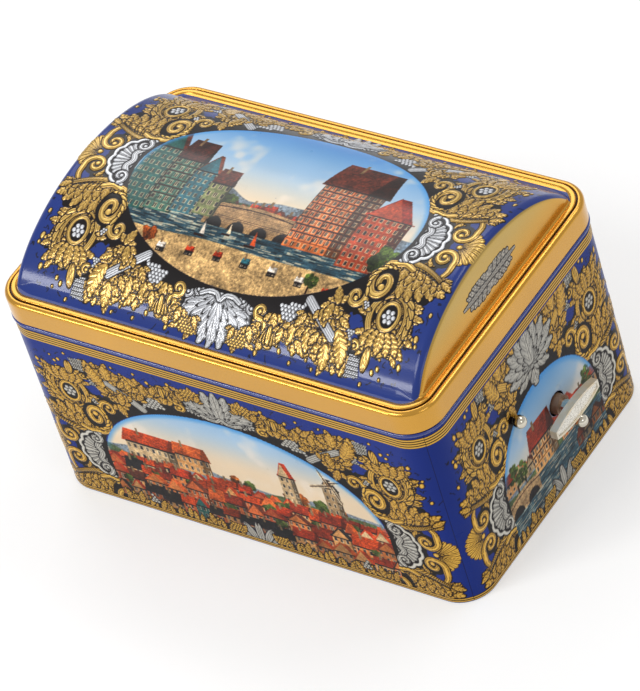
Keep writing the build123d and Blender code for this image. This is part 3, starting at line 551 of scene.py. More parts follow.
def draw_foot_row(art):
    """The row of leaves that stands in front of the wall pictures: x from the middle, y up from the hem."""
    for foot, heading, length in (((4.4, 1.0), 35, 6.4), ((2.2, 0.6), 62, 7.4), ((0.0, 0.4), 90, 8.6)):
        art.lobe(*foot, heading, length, 1.6, kind="silver", veins=(-0.4, 0, 0.4))
    rng = np.random.default_rng(7)
    for x in np.arange(8.4, 60.0, 2.5):
        art.sprig(x, rng.uniform(0.2, 1.6), rng.uniform(55, 125), rng.uniform(3.6, 5.4))
    for x, heading in ((57.0, 70), (52.6, 100), (20.0, 80)):
        art.vine_leaf(x, 0.6, heading, 5.6)
    art.pearls([(7.0, 1.6), (12.6, 1.6), (11.6, 5.6), (8.0, 6.0)], 0.55, kind="gold")
    art.pearls([(44.0, 3.2), (47.5, 3.2), (46.5, 7.4)], 0.6)


quarter = Art()
draw_quarter(quarter)
shell(quarter)
foot_row = Art(size=(62.0, 12.0))
draw_foot_row(foot_row)


def draw_crest(art):
    """The double leaf over the end pictures: x from its middle, y up."""
    for heading, length, width, bend in ((-90, 10.6, 2.8, 0), (-50, 11.0, 2.8, 24), (-16, 13.0, 2.9, 20),
                                         (12, 15.0, 3.1, 16), (40, 14.6, 3.2, 10), (66, 14.0, 3.2, 4),
                                         (90, 14.4, 3.0, 0)):
        line = art.stem(0.4, 11.6, heading, length, bend)
        art.leaf(line, width * 1.1, lobes=3, kind="silver", rise=0.6, lean=0.4)


def draw_plaque(art):
    """Half of the long leaf on the gold ends: x from its middle, y up."""
    for x, reach in ((12.2, 3.4), (9.6, 4.4), (6.8, 5.2), (3.8, 5.6), (0.8, 5.4)):
        for side in (-1, 1):
            line = art.stem(x - 1.6, 4.2, side * 58, reach, -side * 30)
            art.leaf(line, 1.5, lobes=3, kind="silver", rise=0.3, lean=0.25)
    art.leaf(art.stem(0.0, 4.2, 0, 16.6), 1.0, lobes=8, kind="silver", rise=0.35)


crest = Art(size=(18.0, 28.0))
draw_crest(crest)
plaque = Art(size=(18.0, 9.0))
draw_plaque(plaque)


# Pictures in the ovals: small views painted with soft strokes
PICTURE_STEP = 0.15
STREAK = 8
SKY_TOP = (84, 158, 222)
SKY_MID = (184, 210, 232)
SKY_LOW = (244, 224, 196)
CLOUD = (248, 236, 222)
FAR_HILL = (146, 156, 164)
NEAR_HILL = (104, 120, 84)
LEAF_GREEN = (96, 112, 58)
LEAF_RUST = (176, 104, 48)
SAND = (206, 178, 134)
STONE = (198, 168, 128)
SHADOW = (46, 38, 40)
GLASS = (40, 42, 52)
FRAME_PALE = (232, 214, 184)
TIMBER = (70, 38, 30)
RIVER = (74, 108, 122)
WARM_WALLS = ((222, 142, 84), (208, 118, 70), (232, 176, 116), (190, 98, 62), (214, 186, 146))
COOL_WALLS = ((58, 118, 112), (96, 142, 126), (70, 130, 140), (150, 156, 110), (60, 96, 92))
RED_ROOFS = ((214, 92, 46), (190, 74, 42), (226, 116, 60), (168, 70, 46))
BROWN_ROOFS = ((126, 70, 52), (104, 60, 50), (142, 84, 58))
DARK_ROOFS = ((46, 44, 48), (62, 54, 54), (38, 40, 46))


def speckle(shape, cell, rng):
    """Smooth random values of about unit spread over a raster."""
    coarse = rng.normal(size=(int(shape[0] / cell) + 3, int(shape[1] / cell) + 3))
    v, u = np.arange(shape[0]) / cell, np.arange(shape[1]) / cell
    j, i = v.astype(int), u.astype(int)
    fv, fu = ease(v - j, 0, 1)[:, None], ease(u - i, 0, 1)[None]
    low = coarse[np.ix_(j, i)] * (1 - fu) + coarse[np.ix_(j, i + 1)] * fu
    high = coarse[np.ix_(j + 1, i)] * (1 - fu) + coarse[np.ix_(j + 1, i + 1)] * fu
    return low * (1 - fv) + high * fv


class Picture:
    """A painted view in millimetres from the middle of its oval."""

    def __init__(self, half, low, high, seed, depth=1.25):
        self.rng = np.random.default_rng(seed)
        self.depth = depth
        self.half, self.low, self.high = half, low, high
        self.x, self.y = np.meshgrid(np.arange(-half, half, PICTURE_STEP), np.arange(low, high, PICTURE_STEP))
        self.rgb = np.zeros((*self.x.shape, 3))
        self.grain = sum(share * speckle(self.x.shape, cell, self.rng)
                         for share, cell in ((0.6, 1.6), (0.5, 5), (0.5, 24)))

    def near(self, x0, x1, y0, y1):
        """The raster's part between two corners, with its points."""
        rows, cols = self.x.shape
        i0, i1 = (int(np.clip((v + self.half) / PICTURE_STEP, 0, cols)) for v in (x0, x1))
        j0, j1 = (int(np.clip((v - self.low) / PICTURE_STEP, 0, rows)) for v in (y0, y1))
        box = (slice(j0, j1), slice(i0, i1))
        return box, self.x[box], self.y[box]

    def dab(self, box, mask, colour, rough=0.13, light=1.0):
        """Brush a colour on, broken up by the grain."""
        shade = light * (1 + rough * self.grain[box][..., None])
        paint = np.clip(screen(colour) * shade, 0, 1)
        self.rgb[box] += np.asarray(mask, float)[..., None] * (paint - self.rgb[box])

    def sky(self, horizon, warm=0.0):
        """Blue at the top and warm at the horizon, with thin clouds."""
        t = (self.y - horizon) / (self.high - horizon) - warm
        low, middle, top, cloud = (screen(c) for c in (SKY_LOW, SKY_MID, SKY_TOP, CLOUD))
        rgb = mix(low, middle, ease(t, 0, 0.5)[..., None])
        rgb = mix(rgb, top, ease(t, 0.4, 1.15)[..., None])
        puff = speckle(self.x.shape, 70, self.rng) + 0.5 * speckle(self.x.shape, 24, self.rng)
        self.rgb = mix(rgb, cloud, (0.55 * ease(puff, 0.2, 1.8))[..., None])

    def hill(self, base, height, colour, cell=90):
        """Ground up to a wavy line."""
        line = base + height * speckle((1, self.x.shape[1]), cell, self.rng)
        self.dab(np.s_[:, :], cover(line - self.y), colour, 0.2)

    def water(self, low, high):
        """Still water with level streaks."""
        box, x, _ = self.near(-self.half, self.half, low, high)
        rows, cols = x.shape
        streak = np.repeat(speckle((rows, cols // STREAK + 1), 2.2, self.rng), STREAK, axis=1)[:, :cols]
        self.dab(box, np.ones(x.shape), RIVER, 0.1)
        self.dab(box, ease(streak, 0.1, 1.3) * 0.75, SKY_LOW, 0.1)
        self.dab(box, ease(-streak, 0.2, 1.3) * 0.6, SHADOW, 0.1)

    def house(self, x0, y0, w, h, roof_h, wall, roof, gable=False, beams=False, side=0.24, light=1.0):
        """Walls with a shaded side, rows of windows and a tiled roof or a gable."""
        over = 0.06 * w
        box, x, y = self.near(x0 - 2 * over, x0 + w + 2 * over, y0, y0 + h + roof_h + 3)
        if x.size == 0:
            return
        u, v = (x - x0) / w, y - y0
        front = 1 - side
        top = h + (roof_h * np.clip(1 - abs(2 * u / front - 1), 0, 1) if gable else 0)
        body = (u >= 0) & (u <= 1) & (v >= 0) & (v <= top)
        self.dab(box, body, wall, light=light)
        self.dab(box, body & (u > front), wall, light=0.58 * light)
        columns, floors = max(round(w / 2.6), 2), max(round(h / 3.6), 1)
        pu, pv = (u * columns) % 1, (v / h * floors) % 1
        walls = body & (v < h)
        if beams:
            brace = abs(pu - pv * 0.5) < 0.09
            lines = (pu < 0.1) | (pv > 0.9) | (pv < 0.06) | (brace & (np.floor(u * columns) % 2 == 0))
            self.dab(box, walls & lines & (v > h / floors), TIMBER, light=light)
        pane = walls & (abs(pu - 0.5) < 0.27) & (abs(pv - 0.52) < 0.3)
        glass = walls & (abs(pu - 0.5) < 0.19) & (abs(pv - 0.52) < 0.23)
        self.dab(box, pane * 0.8, FRAME_PALE, light=light * 0.95)
        self.dab(box, glass & (abs(pu - 0.5) > 0.03), GLASS, 0.3)
        if gable:
            left = (u > -0.06) & (u < front / 2 + 0.02) & (abs(v - top) < 0.5)
            slope = (u >= front / 2) & (u <= 1.06) & (v > h - 0.6)
            fall = np.clip(1 - (u - front / 2 - side) / (front / 2), 0, 1)
            slope &= (v <= h + roof_h * fall) & (v > top - 0.5)
            self.dab(box, left | slope, roof, 0.2, light=light)
        else:
            t = (v - h) / roof_h
            lean = 0.1 * t
            tiles = (t > -0.06) & (t < 1) & (u > -0.06 + lean) & (u < 1.06 - lean)
            self.dab(box, tiles, roof, 0.22, light=light)
            self.dab(box, tiles & ((v / 0.9) % 1 < 0.3), roof, 0.2, light=0.82 * light)
            self.dab(box, tiles & (u > front + 0.12 * t), roof, 0.2, light=0.66 * light)
            stack = (abs(u - 0.3) < 0.5 / w) & (t > 0.7) & (v < h + roof_h + 1.6)
            self.dab(box, stack, STONE, light=0.8 * light)
        self.dab(box, walls & (v > h - 0.7), SHADOW, 0.1)

    def tree(self, x0, y0, r, colour, tall=1.0):
        """A crown of leaf clumps, lit from the upper left."""
        box, x, y = self.near(x0 - 0.5, x0 + 0.5, y0 - r * 0.5, y0 + r)
        self.dab(box, abs(x - x0) < 0.09 * r + 0.15, TIMBER)
        for _ in range(34):
            a, d = self.rng.uniform(0, 2 * math.pi), r * math.sqrt(self.rng.uniform()) * 0.8
            cx, cy = x0 + d * math.cos(a), y0 + tall * (r + 0.9 * d * math.sin(a))
            size = r * self.rng.uniform(0.16, 0.34)
            lit = 0.85 + 0.35 * math.sin(a + 0.6) * d / r + 0.12 * self.rng.normal()
            box, x, y = self.near(cx - size - 1, cx + size + 1, cy - size - 1, cy + size + 1)
            self.dab(box, cover(size - np.hypot(x - cx, y - cy)), colour, 0.3, light=lit)

    def bridge(self, x0, x1, foot, deck, arches):
        """A stone bridge with round arches and a parapet."""
        box, x, y = self.near(x0, x1, foot, deck + 6)
        u = (x - x0) / (x1 - x0)
        crown = deck + 1.6 * np.sin(math.pi * u)
        span = (x1 - x0) / arches
        hole = np.hypot((u * arches % 1 - 0.5) * span, (y - foot) * 0.9) < span * 0.36
        body = (y < crown + 1.5) & (y > foot)
        self.dab(box, body, STONE)
        courses = ((y / 0.8) % 1 < 0.16) | ((x / 1.5 + np.floor(y / 0.8) % 2 * 0.5) % 1 < 0.08)
        self.dab(box, body * courses * 0.5, TIMBER)
        self.dab(box, body & hole, SHADOW, 0.3)
        self.dab(box, body & (abs(y - crown) < 0.25), TIMBER)

    def roofs(self, x0, x1, y0, size, palette, walls, light=1.0):
        """A row of small houses side by side."""
        x = x0
        while x < x1:
            w = size * self.rng.uniform(0.8, 1.5)
            roof = palette[self.rng.integers(len(palette))]
            wall = walls[self.rng.integers(len(walls))]
            low = y0 + self.rng.uniform(-0.2, 0.2) * size
            tall, roof_h = size * self.rng.uniform(0.45, 0.8), size * self.rng.uniform(0.45, 0.75)
            gable = self.rng.uniform() < 0.4
            shade = light * self.rng.uniform(0.85, 1.1)
            self.house(x, low, w, tall, roof_h, wall, roof, gable=gable, light=shade)
            x += w * self.rng.uniform(0.7, 0.95)

    def boat(self, x0, y0, size, sail):
        """A small sailing boat."""
        box, x, y = self.near(x0 - size, x0 + size, y0 - size, y0 + 2.4 * size)
        u, v = (x - x0) / size, (y - y0) / size
        self.dab(box, (abs(u) < 0.8 + 0.25 * v) & (v > -0.25) & (v < 0.1), TIMBER)
        cloth = (u > 0) & (v > 0.2) & (u < 0.375 * (2.2 - v))
        self.dab(box, cloth, sail)

    def read(self, x, y):
        """Colours at the given points, 0 to 1 on screen, darker in the middle tones by the view's depth."""
        return sample(self.rgb, (x + self.half) / PICTURE_STEP, (y - self.low) / PICTURE_STEP) ** self.depth


def harbour_town(seed):
    """The lid's view: a river harbour with a stone bridge between tall houses, and tents on the bank."""
    p = Picture(62, -42, 42, seed, depth=1.5)
    p.sky(-8)
    p.hill(-3, 2.0, FAR_HILL)
    p.hill(-7, 1.6, NEAR_HILL)
    p.roofs(-20, 34, -10, 4.2, BROWN_ROOFS + RED_ROOFS[:2], WARM_WALLS, light=1.05)
    p.tree(-17, -11, 4.6, LEAF_GREEN)
    p.tree(16, -10, 4.0, LEAF_RUST)
    p.water(-30, -11)
    p.bridge(-21, 17, -17.5, -9.5, 4)
    for k, (x, w, h, roof_h) in enumerate(((-58, 13, 30, 13), (-46, 11.5, 25, 11), (-35.5, 10, 20, 9),
                                           (-26.5, 8.5, 15, 7))):
        p.house(x, -19 + 1.4 * k, w, h, roof_h, COOL_WALLS[k], BROWN_ROOFS[k % 3], gable=k % 2 == 0,
                beams=k == 1, side=0.14)
    p.house(13, -18, 25, 31, 14, WARM_WALLS[0], BROWN_ROOFS[0], beams=True, side=0.3)
    p.house(36, -20, 18, 24, 11, WARM_WALLS[3], RED_ROOFS[3], gable=True, side=0.22)
    p.tree(53, -20, 6.5, LEAF_GREEN)
    p.hill(-24.5, 0.5, SAND, cell=160)
    for x, y, size, sail in ((-9, -19.6, 2.2, SKY_LOW), (2, -21.6, 2.8, RED_ROOFS[2]),
                             (-19, -22.2, 2.6, CLOUD)):
        p.boat(x, y, size, sail)
    for x in np.arange(-44, 46, 11.5):
        cloth = (RED_ROOFS[0], CLOUD, COOL_WALLS[2])[int(x) % 3]
        p.house(x, -30 - 0.002 * x * x, 3.4, 1.8, 2.0, SHADOW, cloth)
    p.tree(-38, -30, 3.4, LEAF_RUST)
    p.tree(31, -31, 3.2, LEAF_GREEN)
    return p


def valley_village(seed):
    """The long walls' view: red roofs below wooded hills, with a windmill."""
    p = Picture(64, -26, 40, seed)
    p.sky(2, warm=0.3)
    p.hill(9, 4.0, FAR_HILL, cell=130)
    p.hill(4, 3.0, NEAR_HILL, cell=110)
    for k in range(16):
        colour = (LEAF_GREEN, LEAF_RUST)[k % 2]
        p.tree(p.rng.uniform(-58, 58), p.rng.uniform(1, 6), p.rng.uniform(2, 3.6), colour)
    p.house(18, 4, 7, 14, 7, WARM_WALLS[4], RED_ROOFS[1], gable=True, side=0.3)
    p.house(-50, 3, 24, 9, 6.5, WARM_WALLS[4], RED_ROOFS[0])
    p.house(-28, 5, 15, 8, 6, WARM_WALLS[2], RED_ROOFS[2])
    hub = (40.0, 21.0)
    p.house(36.6, 5, 7, 14, 4.5, STONE, DARK_ROOFS[1], gable=True, side=0.3)
    box, x, y = p.near(hub[0] - 12, hub[0] + 12, hub[1] - 12, hub[1] + 12)
    for turn in (20, 110, 200, 290):
        a = math.radians(turn)
        along = (x - hub[0]) * math.cos(a) + (y - hub[1]) * math.sin(a)
        off = abs(-(x - hub[0]) * math.sin(a) + (y - hub[1]) * math.cos(a) - 0.6)
        p.dab(box, (along > 1) & (along < 9.5) & (off < 0.8), FRAME_PALE)
        p.dab(box, (along > 0) & (along < 9.5) & (off < 0.25), TIMBER)
    for y0, size, palette, light in ((-2, 6.0, RED_ROOFS, 1.05), (-7, 7.5, RED_ROOFS + DARK_ROOFS[:1], 1.0),
                                     (-13, 9.0, RED_ROOFS + BROWN_ROOFS[:1] + DARK_ROOFS[:1], 0.95)):
        p.roofs(-62, 62, y0, size, palette, WARM_WALLS, light)
        for _ in range(4):
            p.tree(p.rng.uniform(-56, 56), y0 + 1, p.rng.uniform(2, 3.2), LEAF_GREEN)
    p.roofs(-62, 62, -20, 8, DARK_ROOFS + RED_ROOFS, WARM_WALLS[:3] + COOL_WALLS[:1], 0.85)
    p.hill(-19.5, 1.0, SHADOW)
    return p


def village_pond(seed):
    """The short walls' view: a timbered house, trees and a bridge by a pond."""
    p = Picture(34, -26, 34, seed)
    p.sky(0)
    p.hill(4, 1.6, FAR_HILL)
    p.roofs(-32, 30, 0, 7, RED_ROOFS + BROWN_ROOFS, WARM_WALLS, 0.95)
    p.hill(-1.5, 1.2, NEAR_HILL)
    for x, r in ((-24, 3.4), (-19, 2.8), (25, 3.6)):
        p.tree(x, -2, r, LEAF_GREEN, tall=2.2)
    p.house(-13, -5, 15, 12, 9, WARM_WALLS[2], RED_ROOFS[3], beams=True)
    p.house(5, -6, 14, 9, 8, WARM_WALLS[0], RED_ROOFS[1], gable=True)
    p.water(-26, -5)
    p.bridge(-32, -12, -11, -5.5, 2)
    p.roofs(12, 34, -15, 5.5, BROWN_ROOFS, WARM_WALLS, 0.7)
    p.hill(-19, 1.2, SHADOW)
    return p


# Building meshes: the name of their layout for baking, and how metallic the two metal inks are
UV_NAME = "OFBake"
GOLD_METAL = 0.55
SILVER_METAL = 0.25


def printed(layers, ground, gold, silver):
    """Screen colour and how metallic each point is, from the drawing's layers."""
    g, s, d, tone = (layers[k][..., None] for k in (*KINDS, "tone"))
    rgb = np.clip(1 - g - s - d, 0, 1) * screen(ground) + d * screen(DARK)
    # Gold and silver run from their painted shade colour at a shape's edge to their full colour on its crest
    rgb = rgb + g * mix(screen(GOLD_SHADE), screen(gold), tone)
    rgb = rgb + s * mix(screen(SILVER_SHADE), screen(silver), tone)
    return rgb, layers["gold"] * GOLD_METAL + layers["silver"] * SILVER_METAL


def cut_out(layers, mask):
    """Clear every layer where the mask is."""
    return {k: v * (1 - mask) for k, v in layers.items()}


def over(low, high):
    """Lay one set of layers over another."""
    mask = np.clip(high["gold"] + high["silver"] + high["dark"], 0, 1)
    return {k: low[k] * (1 - mask) + high[k] * (mask if k in ("tone", "high") else 1) for k in low}


def panel(name, points, rgb, shine, body, material, drop=None, flip=False):
    """A mesh from a grid of points in millimetres, with its printed colour on its vertices."""
    rows, cols = points.shape[:2]
    index = np.arange(rows * cols).reshape(rows, cols)
    quads = np.stack([index[:-1, :-1], index[:-1, 1:], index[1:, 1:], index[1:, :-1]], -1)
    if flip:
        quads = quads[..., ::-1]
    quads = quads.reshape(-1, 4)
    if drop is not None:
        quads = quads[~drop.reshape(-1)]
    used, quads = np.unique(quads, return_inverse=True)
    quads = quads.reshape(-1, 4)
    mesh = bpy.data.meshes.new(name)
    mesh.vertices.add(len(used))
    mesh.vertices.foreach_set("co", (points.reshape(-1, 3)[used] * MM).ravel())
    mesh.loops.add(quads.size)
    mesh.loops.foreach_set("vertex_index", quads.ravel())
    mesh.polygons.add(len(quads))
    mesh.polygons.foreach_set("loop_start", np.arange(0, quads.size, 4))
    mesh.polygons.foreach_set("use_smooth", np.ones(len(quads), bool))
    mesh.update(calc_edges=True)
    place = np.stack(np.meshgrid(np.linspace(0, 1, cols), np.linspace(0, 1, rows)), -1).reshape(-1, 2)[used]
    mesh.uv_layers.new(name=UV_NAME).data.foreach_set("uv", place[quads.ravel()].ravel())
    colours = np.ones((len(used), 4))
    colours[:, :3] = linear(np.clip(rgb, 0, 1).reshape(-1, 3)[used] * 255)
    mesh.color_attributes.new("print", "FLOAT_COLOR", "POINT").data.foreach_set("color", colours.ravel())
    shines = np.broadcast_to(shine, (rows, cols)).reshape(-1)[used].astype(np.float32)
    mesh.attributes.new("metal", "FLOAT", "POINT").data.foreach_set("value", shines)
    mesh.materials.append(material)
    piece = bpy.data.objects.new(name, mesh)
    bpy.context.scene.collection.objects.link(piece)
    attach(piece, body)
    return piece


def pushed(points, relief):
    """A grid of points moved along its own normals."""
    normal = np.cross(np.gradient(points, axis=1), np.gradient(points, axis=0))
    normal /= np.linalg.norm(normal, axis=-1, keepdims=True) + 1e-12
    return points + normal * relief[..., None], normal


# Lid: depths of the print and of the lining below the crown, and height of the relief
RELIEF_SPACE = 0.45
LINING_DROP = 0.8
LID_RELIEF = 0.62
# Insets from the tin's plan: the rim's shelf, the print and the lining
RING_IN = 4.6
SKIN_IN = 4.2
LINING_IN = 4.4
# How far the print lies below the rim's shelf
SKIN_DROP = 0.03
# Radius where the vault turns up from the shelf, at the middle and at the ends
TURN_UP = (2.6, 0.8)
TURN_UP_X = (76, 83)
# Where the lacquer is gold: by slope at the ends, by inset and corner radius along the front and back
LENS_SLOPE = (0.72, 0.8)
SHELF_BLUE_FRONT = (4.4, 8.0)
SHELF_BLUE_BACK = (5.75, 2.5)
LACQUER_SHINE = 0.8
# Grid of the print: finer near the ends and near the foot
LID_X_STEPS = ((0, 80, 0.25), (80, 83, 0.2), (83, 85.6, 0.065))
LID_X_END = (85.6, 86.2)
ARC_STEP = 0.25
FOOT_FROM_Y = 51.2
FOOT_TO_Y = 55.01
FOOT_STEP = 0.16
# The leaf on each gold end, the colour of the tin inside, and the painted shade in the groove
PLAQUE_Z = 102.8
PLAQUE_SILVER = (214, 206, 190)
TIN_PRINT = (196, 196, 192)
GROOVE_SHADE = (70, 40, 18)


def round_max(a, b, r):
    """The larger distance, with a rounded edge where both are near."""
    both = (a > -r) & (b > -r)
    return np.where(both, np.hypot(np.maximum(a + r, 0), np.maximum(b + r, 0)) - r, np.maximum(a, b))


def rounded_box(x, y, half_x, half_y, r):
    """Distance outside a rectangle with rounded corners."""
    qx, qy = abs(x) - (half_x - r), abs(y) - (half_y - r)
    return np.hypot(np.maximum(qx, 0), np.maximum(qy, 0)) + np.minimum(np.maximum(qx, qy), 0) - r


def vault(x, y, z, inset):
    """Distance outside the vault and its shelf."""
    a, b = VAULT_HALF_D - inset, VAULT_RISE - inset
    up = z - (CROWN_Z - VAULT_RISE)
    k = np.hypot(y / a, up / b)
    arch = k * (k - 1) / np.hypot(y / a**2, up / b**2)
    lean = Vector((CROWN_Z - SHELF_Z, VAULT_FOOT_X - VAULT_TOP_X)).normalized()
    end = (abs(x) - VAULT_FOOT_X) * lean[0] + (z - SHELF_Z) * lean[1] + inset - RELIEF_SPACE
    outline = rounded_box(x, y, VAULT_FOOT_X + 1, VAULT_FOOT_Y, VAULT_CORNER_R)
    body = round_max(round_max(arch, end, VAULT_EDGE_R), outline, 1.0)
    shelf = z - (SHELF_Z - SKIN_DROP - (inset - RELIEF_SPACE))
    turn_up = mix(*TURN_UP, ease(abs(x), *TURN_UP_X))
    return -round_max(-body, -shelf, turn_up)


def vault_height(x, y, inset):
    """Height of the lid's top over a plan point, by halving."""
    low = np.full(x.shape, SHELF_Z - 2.0)
    high = np.full(x.shape, CROWN_Z + 1.0)
    for _ in range(26):
        z = (low + high) / 2
        under = vault(x, y, z, inset) < 0
        low, high = np.where(under, z, low), np.where(under, high, z)
    return (low + high) / 2


def arc_table():
    """Arc length from the ridge against y, down to the shelf and on along it."""
    y = np.linspace(0, VAULT_HALF_D * 0.999, 4000)
    z = VAULT_RISE * np.sqrt(1 - (y / VAULT_HALF_D) ** 2)
    s = np.r_[0, np.cumsum(np.hypot(np.diff(y), np.diff(z)))]
    return y, s


def keep_in(points, inset):
    """Points outside the tin's plan less an inset are pulled to it, and faces wholly outside are dropped."""
    half_x, half_y, r = BODY_W / 2 - inset, BODY_D / 2 - inset, CORNER_R - inset
    x, y = points[..., 0], points[..., 1]
    far = rounded_box(x, y, half_x, half_y, r)
    cx, cy = half_x - r, half_y - r
    dx, dy = np.maximum(abs(x) - cx, 0), np.maximum(abs(y) - cy, 0)
    k = np.where(far > 0, r / np.maximum(np.hypot(dx, dy), 1e-6), 1)
    corner = (far > 0) & (dx > 0) & (dy > 0)
    x[...] = np.where(corner, np.sign(x) * (cx + dx * k), np.clip(x, -half_x, half_x))
    y[...] = np.where(corner, np.sign(y) * (cy + dy * k), np.clip(y, -half_y, half_y))
    out = far > 0
    return out[:-1, :-1] & out[:-1, 1:] & out[1:, 1:] & out[1:, :-1]


def lid_print(x, s, y, z, normal_x, picture, front):
    """Print of the vault's skin."""
    gap = oval_gap(x, s)
    mask = cover(-gap - 0.1)
    layers = cut_out(quarter.read(abs(x), abs(s)), mask)
    rgb, shine = printed(layers, LID_BLUE, LID_GOLD, SILVER)
    view = picture.read(x, s)
    rim = ease(gap, -2.6, 0) * ease(s, -12, 8) * 0.7
    view = mix(view, screen(PICTURE_RIM), rim[..., None])
    rgb = mix(rgb, view, mask[..., None])
    edge_in, corner = SHELF_BLUE_FRONT if front else SHELF_BLUE_BACK
    lens = np.maximum.accumulate(ease(abs(normal_x), *LENS_SLOPE), axis=1)
    shelf = cover(rounded_box(x, y, VAULT_FOOT_X - 0.3, BODY_D / 2 - edge_in, corner))
    gold = np.maximum(lens, shelf)
    # Painted shading: the gold ends run from orange at the foot to paler olive towards the top, standing in
    # for how light and reflection fall on them
    lens_shading = ease(z, SHELF_Z + 2, CROWN_Z - 5)[..., None]
    rgb = mix(rgb, mix(screen(LACQUER_GOLD), screen(LENS_TOP_SHADING), lens_shading), gold[..., None])
    return rgb, mix(shine, LACQUER_SHINE, gold), layers["high"] * (1 - gold)


def make_lid(material):
    """The vault in four quarters, the rim round it, the lining and the leaf on each gold end."""
    picture = harbour_town(1)
    x = np.concatenate([*(np.arange(*part) for part in LID_X_STEPS), np.linspace(*LID_X_END, 5)])
    table_y, table_s = arc_table()
    foot_s = np.interp(FOOT_FROM_Y, table_y, table_s)
    foot_y = np.arange(FOOT_FROM_Y, FOOT_TO_Y, FOOT_STEP)
    s = np.arange(0, foot_s, ARC_STEP)
    y = np.r_[np.interp(s, table_s, table_y), foot_y]
    s = np.r_[s, foot_s + foot_y - FOOT_FROM_Y]
    gx, gy = np.meshgrid(x, y)
    gs = np.repeat(s[:, None], len(x), axis=1)
    gz = vault_height(gx, gy, RELIEF_SPACE)
    for tag, sx, sy in (("front_right", 1, -1), ("front_left", -1, -1), ("back_right", 1, 1),
                        ("back_left", -1, 1)):
        base = np.stack([sx * gx, sy * gy, gz], -1)
        _, normal = pushed(base, gz * 0)
        rgb, shine, high = lid_print(sx * gx, sy * gs, sy * gy, gz, normal[..., 0], picture, sy < 0)
        points, _ = pushed(base, sx * sy * high * LID_RELIEF)
        drop = keep_in(points, SKIN_IN)
        name, flip = "lid_vault_" + tag, sx * sy < 0
        skin = panel(name, points, rgb, shine, "lid", material, drop, flip)
        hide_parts("lid_shell")
    make_rim(material)
    make_lining(material)
    make_plaques(material)


def ring_plan(detail=20):
    """Points round the tin's rounded rectangle."""
    half_x, half_y = BODY_W / 2 - CORNER_R, BODY_D / 2 - CORNER_R
    points = []
    for cx, cy, start in ((half_x, -half_y, -90), (half_x, half_y, 0), (-half_x, half_y, 90),
                          (-half_x, -half_y, 180)):
        for a in np.radians(np.linspace(start, start + 90, detail)):
            points.append((cx + CORNER_R * math.cos(a), cy + CORNER_R * math.sin(a)))
    points.append(points[0])
    flat = np.array(points)
    parts = []
    for a, b in zip(flat[:-1], flat[1:]):
        n = max(int(np.hypot(*(b - a)) / 6), 1)
        parts.append(a + (b - a) * np.arange(n)[:, None] / n)
    return np.vstack([*parts, flat[:1]])


def swept(profile):
    """A grid of points: a profile of (offset, z) swept round the tin."""
    base = ring_plan()
    cx = np.clip(base[:, 0], -(BODY_W / 2 - CORNER_R), BODY_W / 2 - CORNER_R)
    cy = np.clip(base[:, 1], -(BODY_D / 2 - CORNER_R), BODY_D / 2 - CORNER_R)
    out = base - np.c_[cx, cy]
    out /= np.linalg.norm(out, axis=1, keepdims=True)
    return np.array([np.c_[base + out * offset, np.full(len(base), z)] for offset, z in profile])


def arc_points(o, z, r, a0, a1, count):
    """Profile points on an arc about (o, z)."""
    turns = np.radians(np.linspace(a0, a1, count))
    return [(o + r * math.cos(a), z + r * math.sin(a)) for a in turns]


def make_rim(material):
    """Shelf, groove, rounded rim, skirt and hem, as one closed strip of sheet."""
    top = RIM_Z - 1.6
    profile = [(-RING_IN, SHELF_Z - SHEET), (-RING_IN, SHELF_Z), (-3.4, SHELF_Z)]
    profile += arc_points(-2.75, SHELF_Z - 0.4, 0.4, 90, 10, 6)
    profile += arc_points(-2.1, SHELF_Z - 0.95, 0.26, 190, 350, 9)
    profile += arc_points(-1.45, RIM_Z - 0.3, 0.3, 170, 95, 5)
    profile += arc_points(-1.25, top, 1.6, 90, 0, 16)
    profile += [(LID_OVER, 90.0), (LID_OVER, 87.5), (LID_OVER, 85.3), (LID_OVER, LID_EDGE_Z + 0.25)]
    profile += arc_points(LID_OVER - 0.2, LID_EDGE_Z + 0.2, 0.2, 0, -90, 5)
    inside_from = len(profile) + 1
    profile += [(0.08, LID_EDGE_Z + 0.05), (0.05, LID_EDGE_Z + 0.3), (0.05, 88.0), (0.05, top)]
    profile += arc_points(-1.25, top, 1.3, 0, 90, 8)
    profile += [(-1.55, 92.6), (-2.6, 92.5), (-2.7, SHELF_Z - SHEET), (-RING_IN, SHELF_Z - SHEET)]
    points = swept(profile)
    colour = np.tile(screen(LACQUER_GOLD), (len(profile), points.shape[1], 1))
    colour[inside_from:] = screen(TIN_PRINT)
    # Painted shade: the rows at the groove's bottom are coloured dark brown, as shade in the recess
    groove = [i for i, (o, z) in enumerate(profile[:inside_from]) if z < SHELF_Z - 0.95 and -2.5 < o < -1.6]
    colour[groove] = screen(GROOVE_SHADE)
    panel("lid_rim", points, colour, LACQUER_SHINE, "lid", material, flip=True)


def make_lining(material):
    """The vault's plain inside, one sheet under the print."""
    x = np.r_[np.linspace(-85.6, -82, 16), np.linspace(-81, 81, 120), np.linspace(82, 85.6, 16)]
    y = np.r_[np.linspace(-54.6, -50, 14), np.linspace(-49, 49, 90), np.linspace(50, 54.6, 14)]
    gx, gy = np.meshgrid(x, y)
    gz = vault_height(gx, gy, LINING_DROP)
    points = np.stack([gx, gy, gz], -1)
    drop = keep_in(points, LINING_IN)
    colour = np.tile(screen(TIN_PRINT), (*gx.shape, 1))
    lining = panel("lid_lining", points, colour, 0.85, "lid", material, drop, flip=True)
    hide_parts("lid_shell")


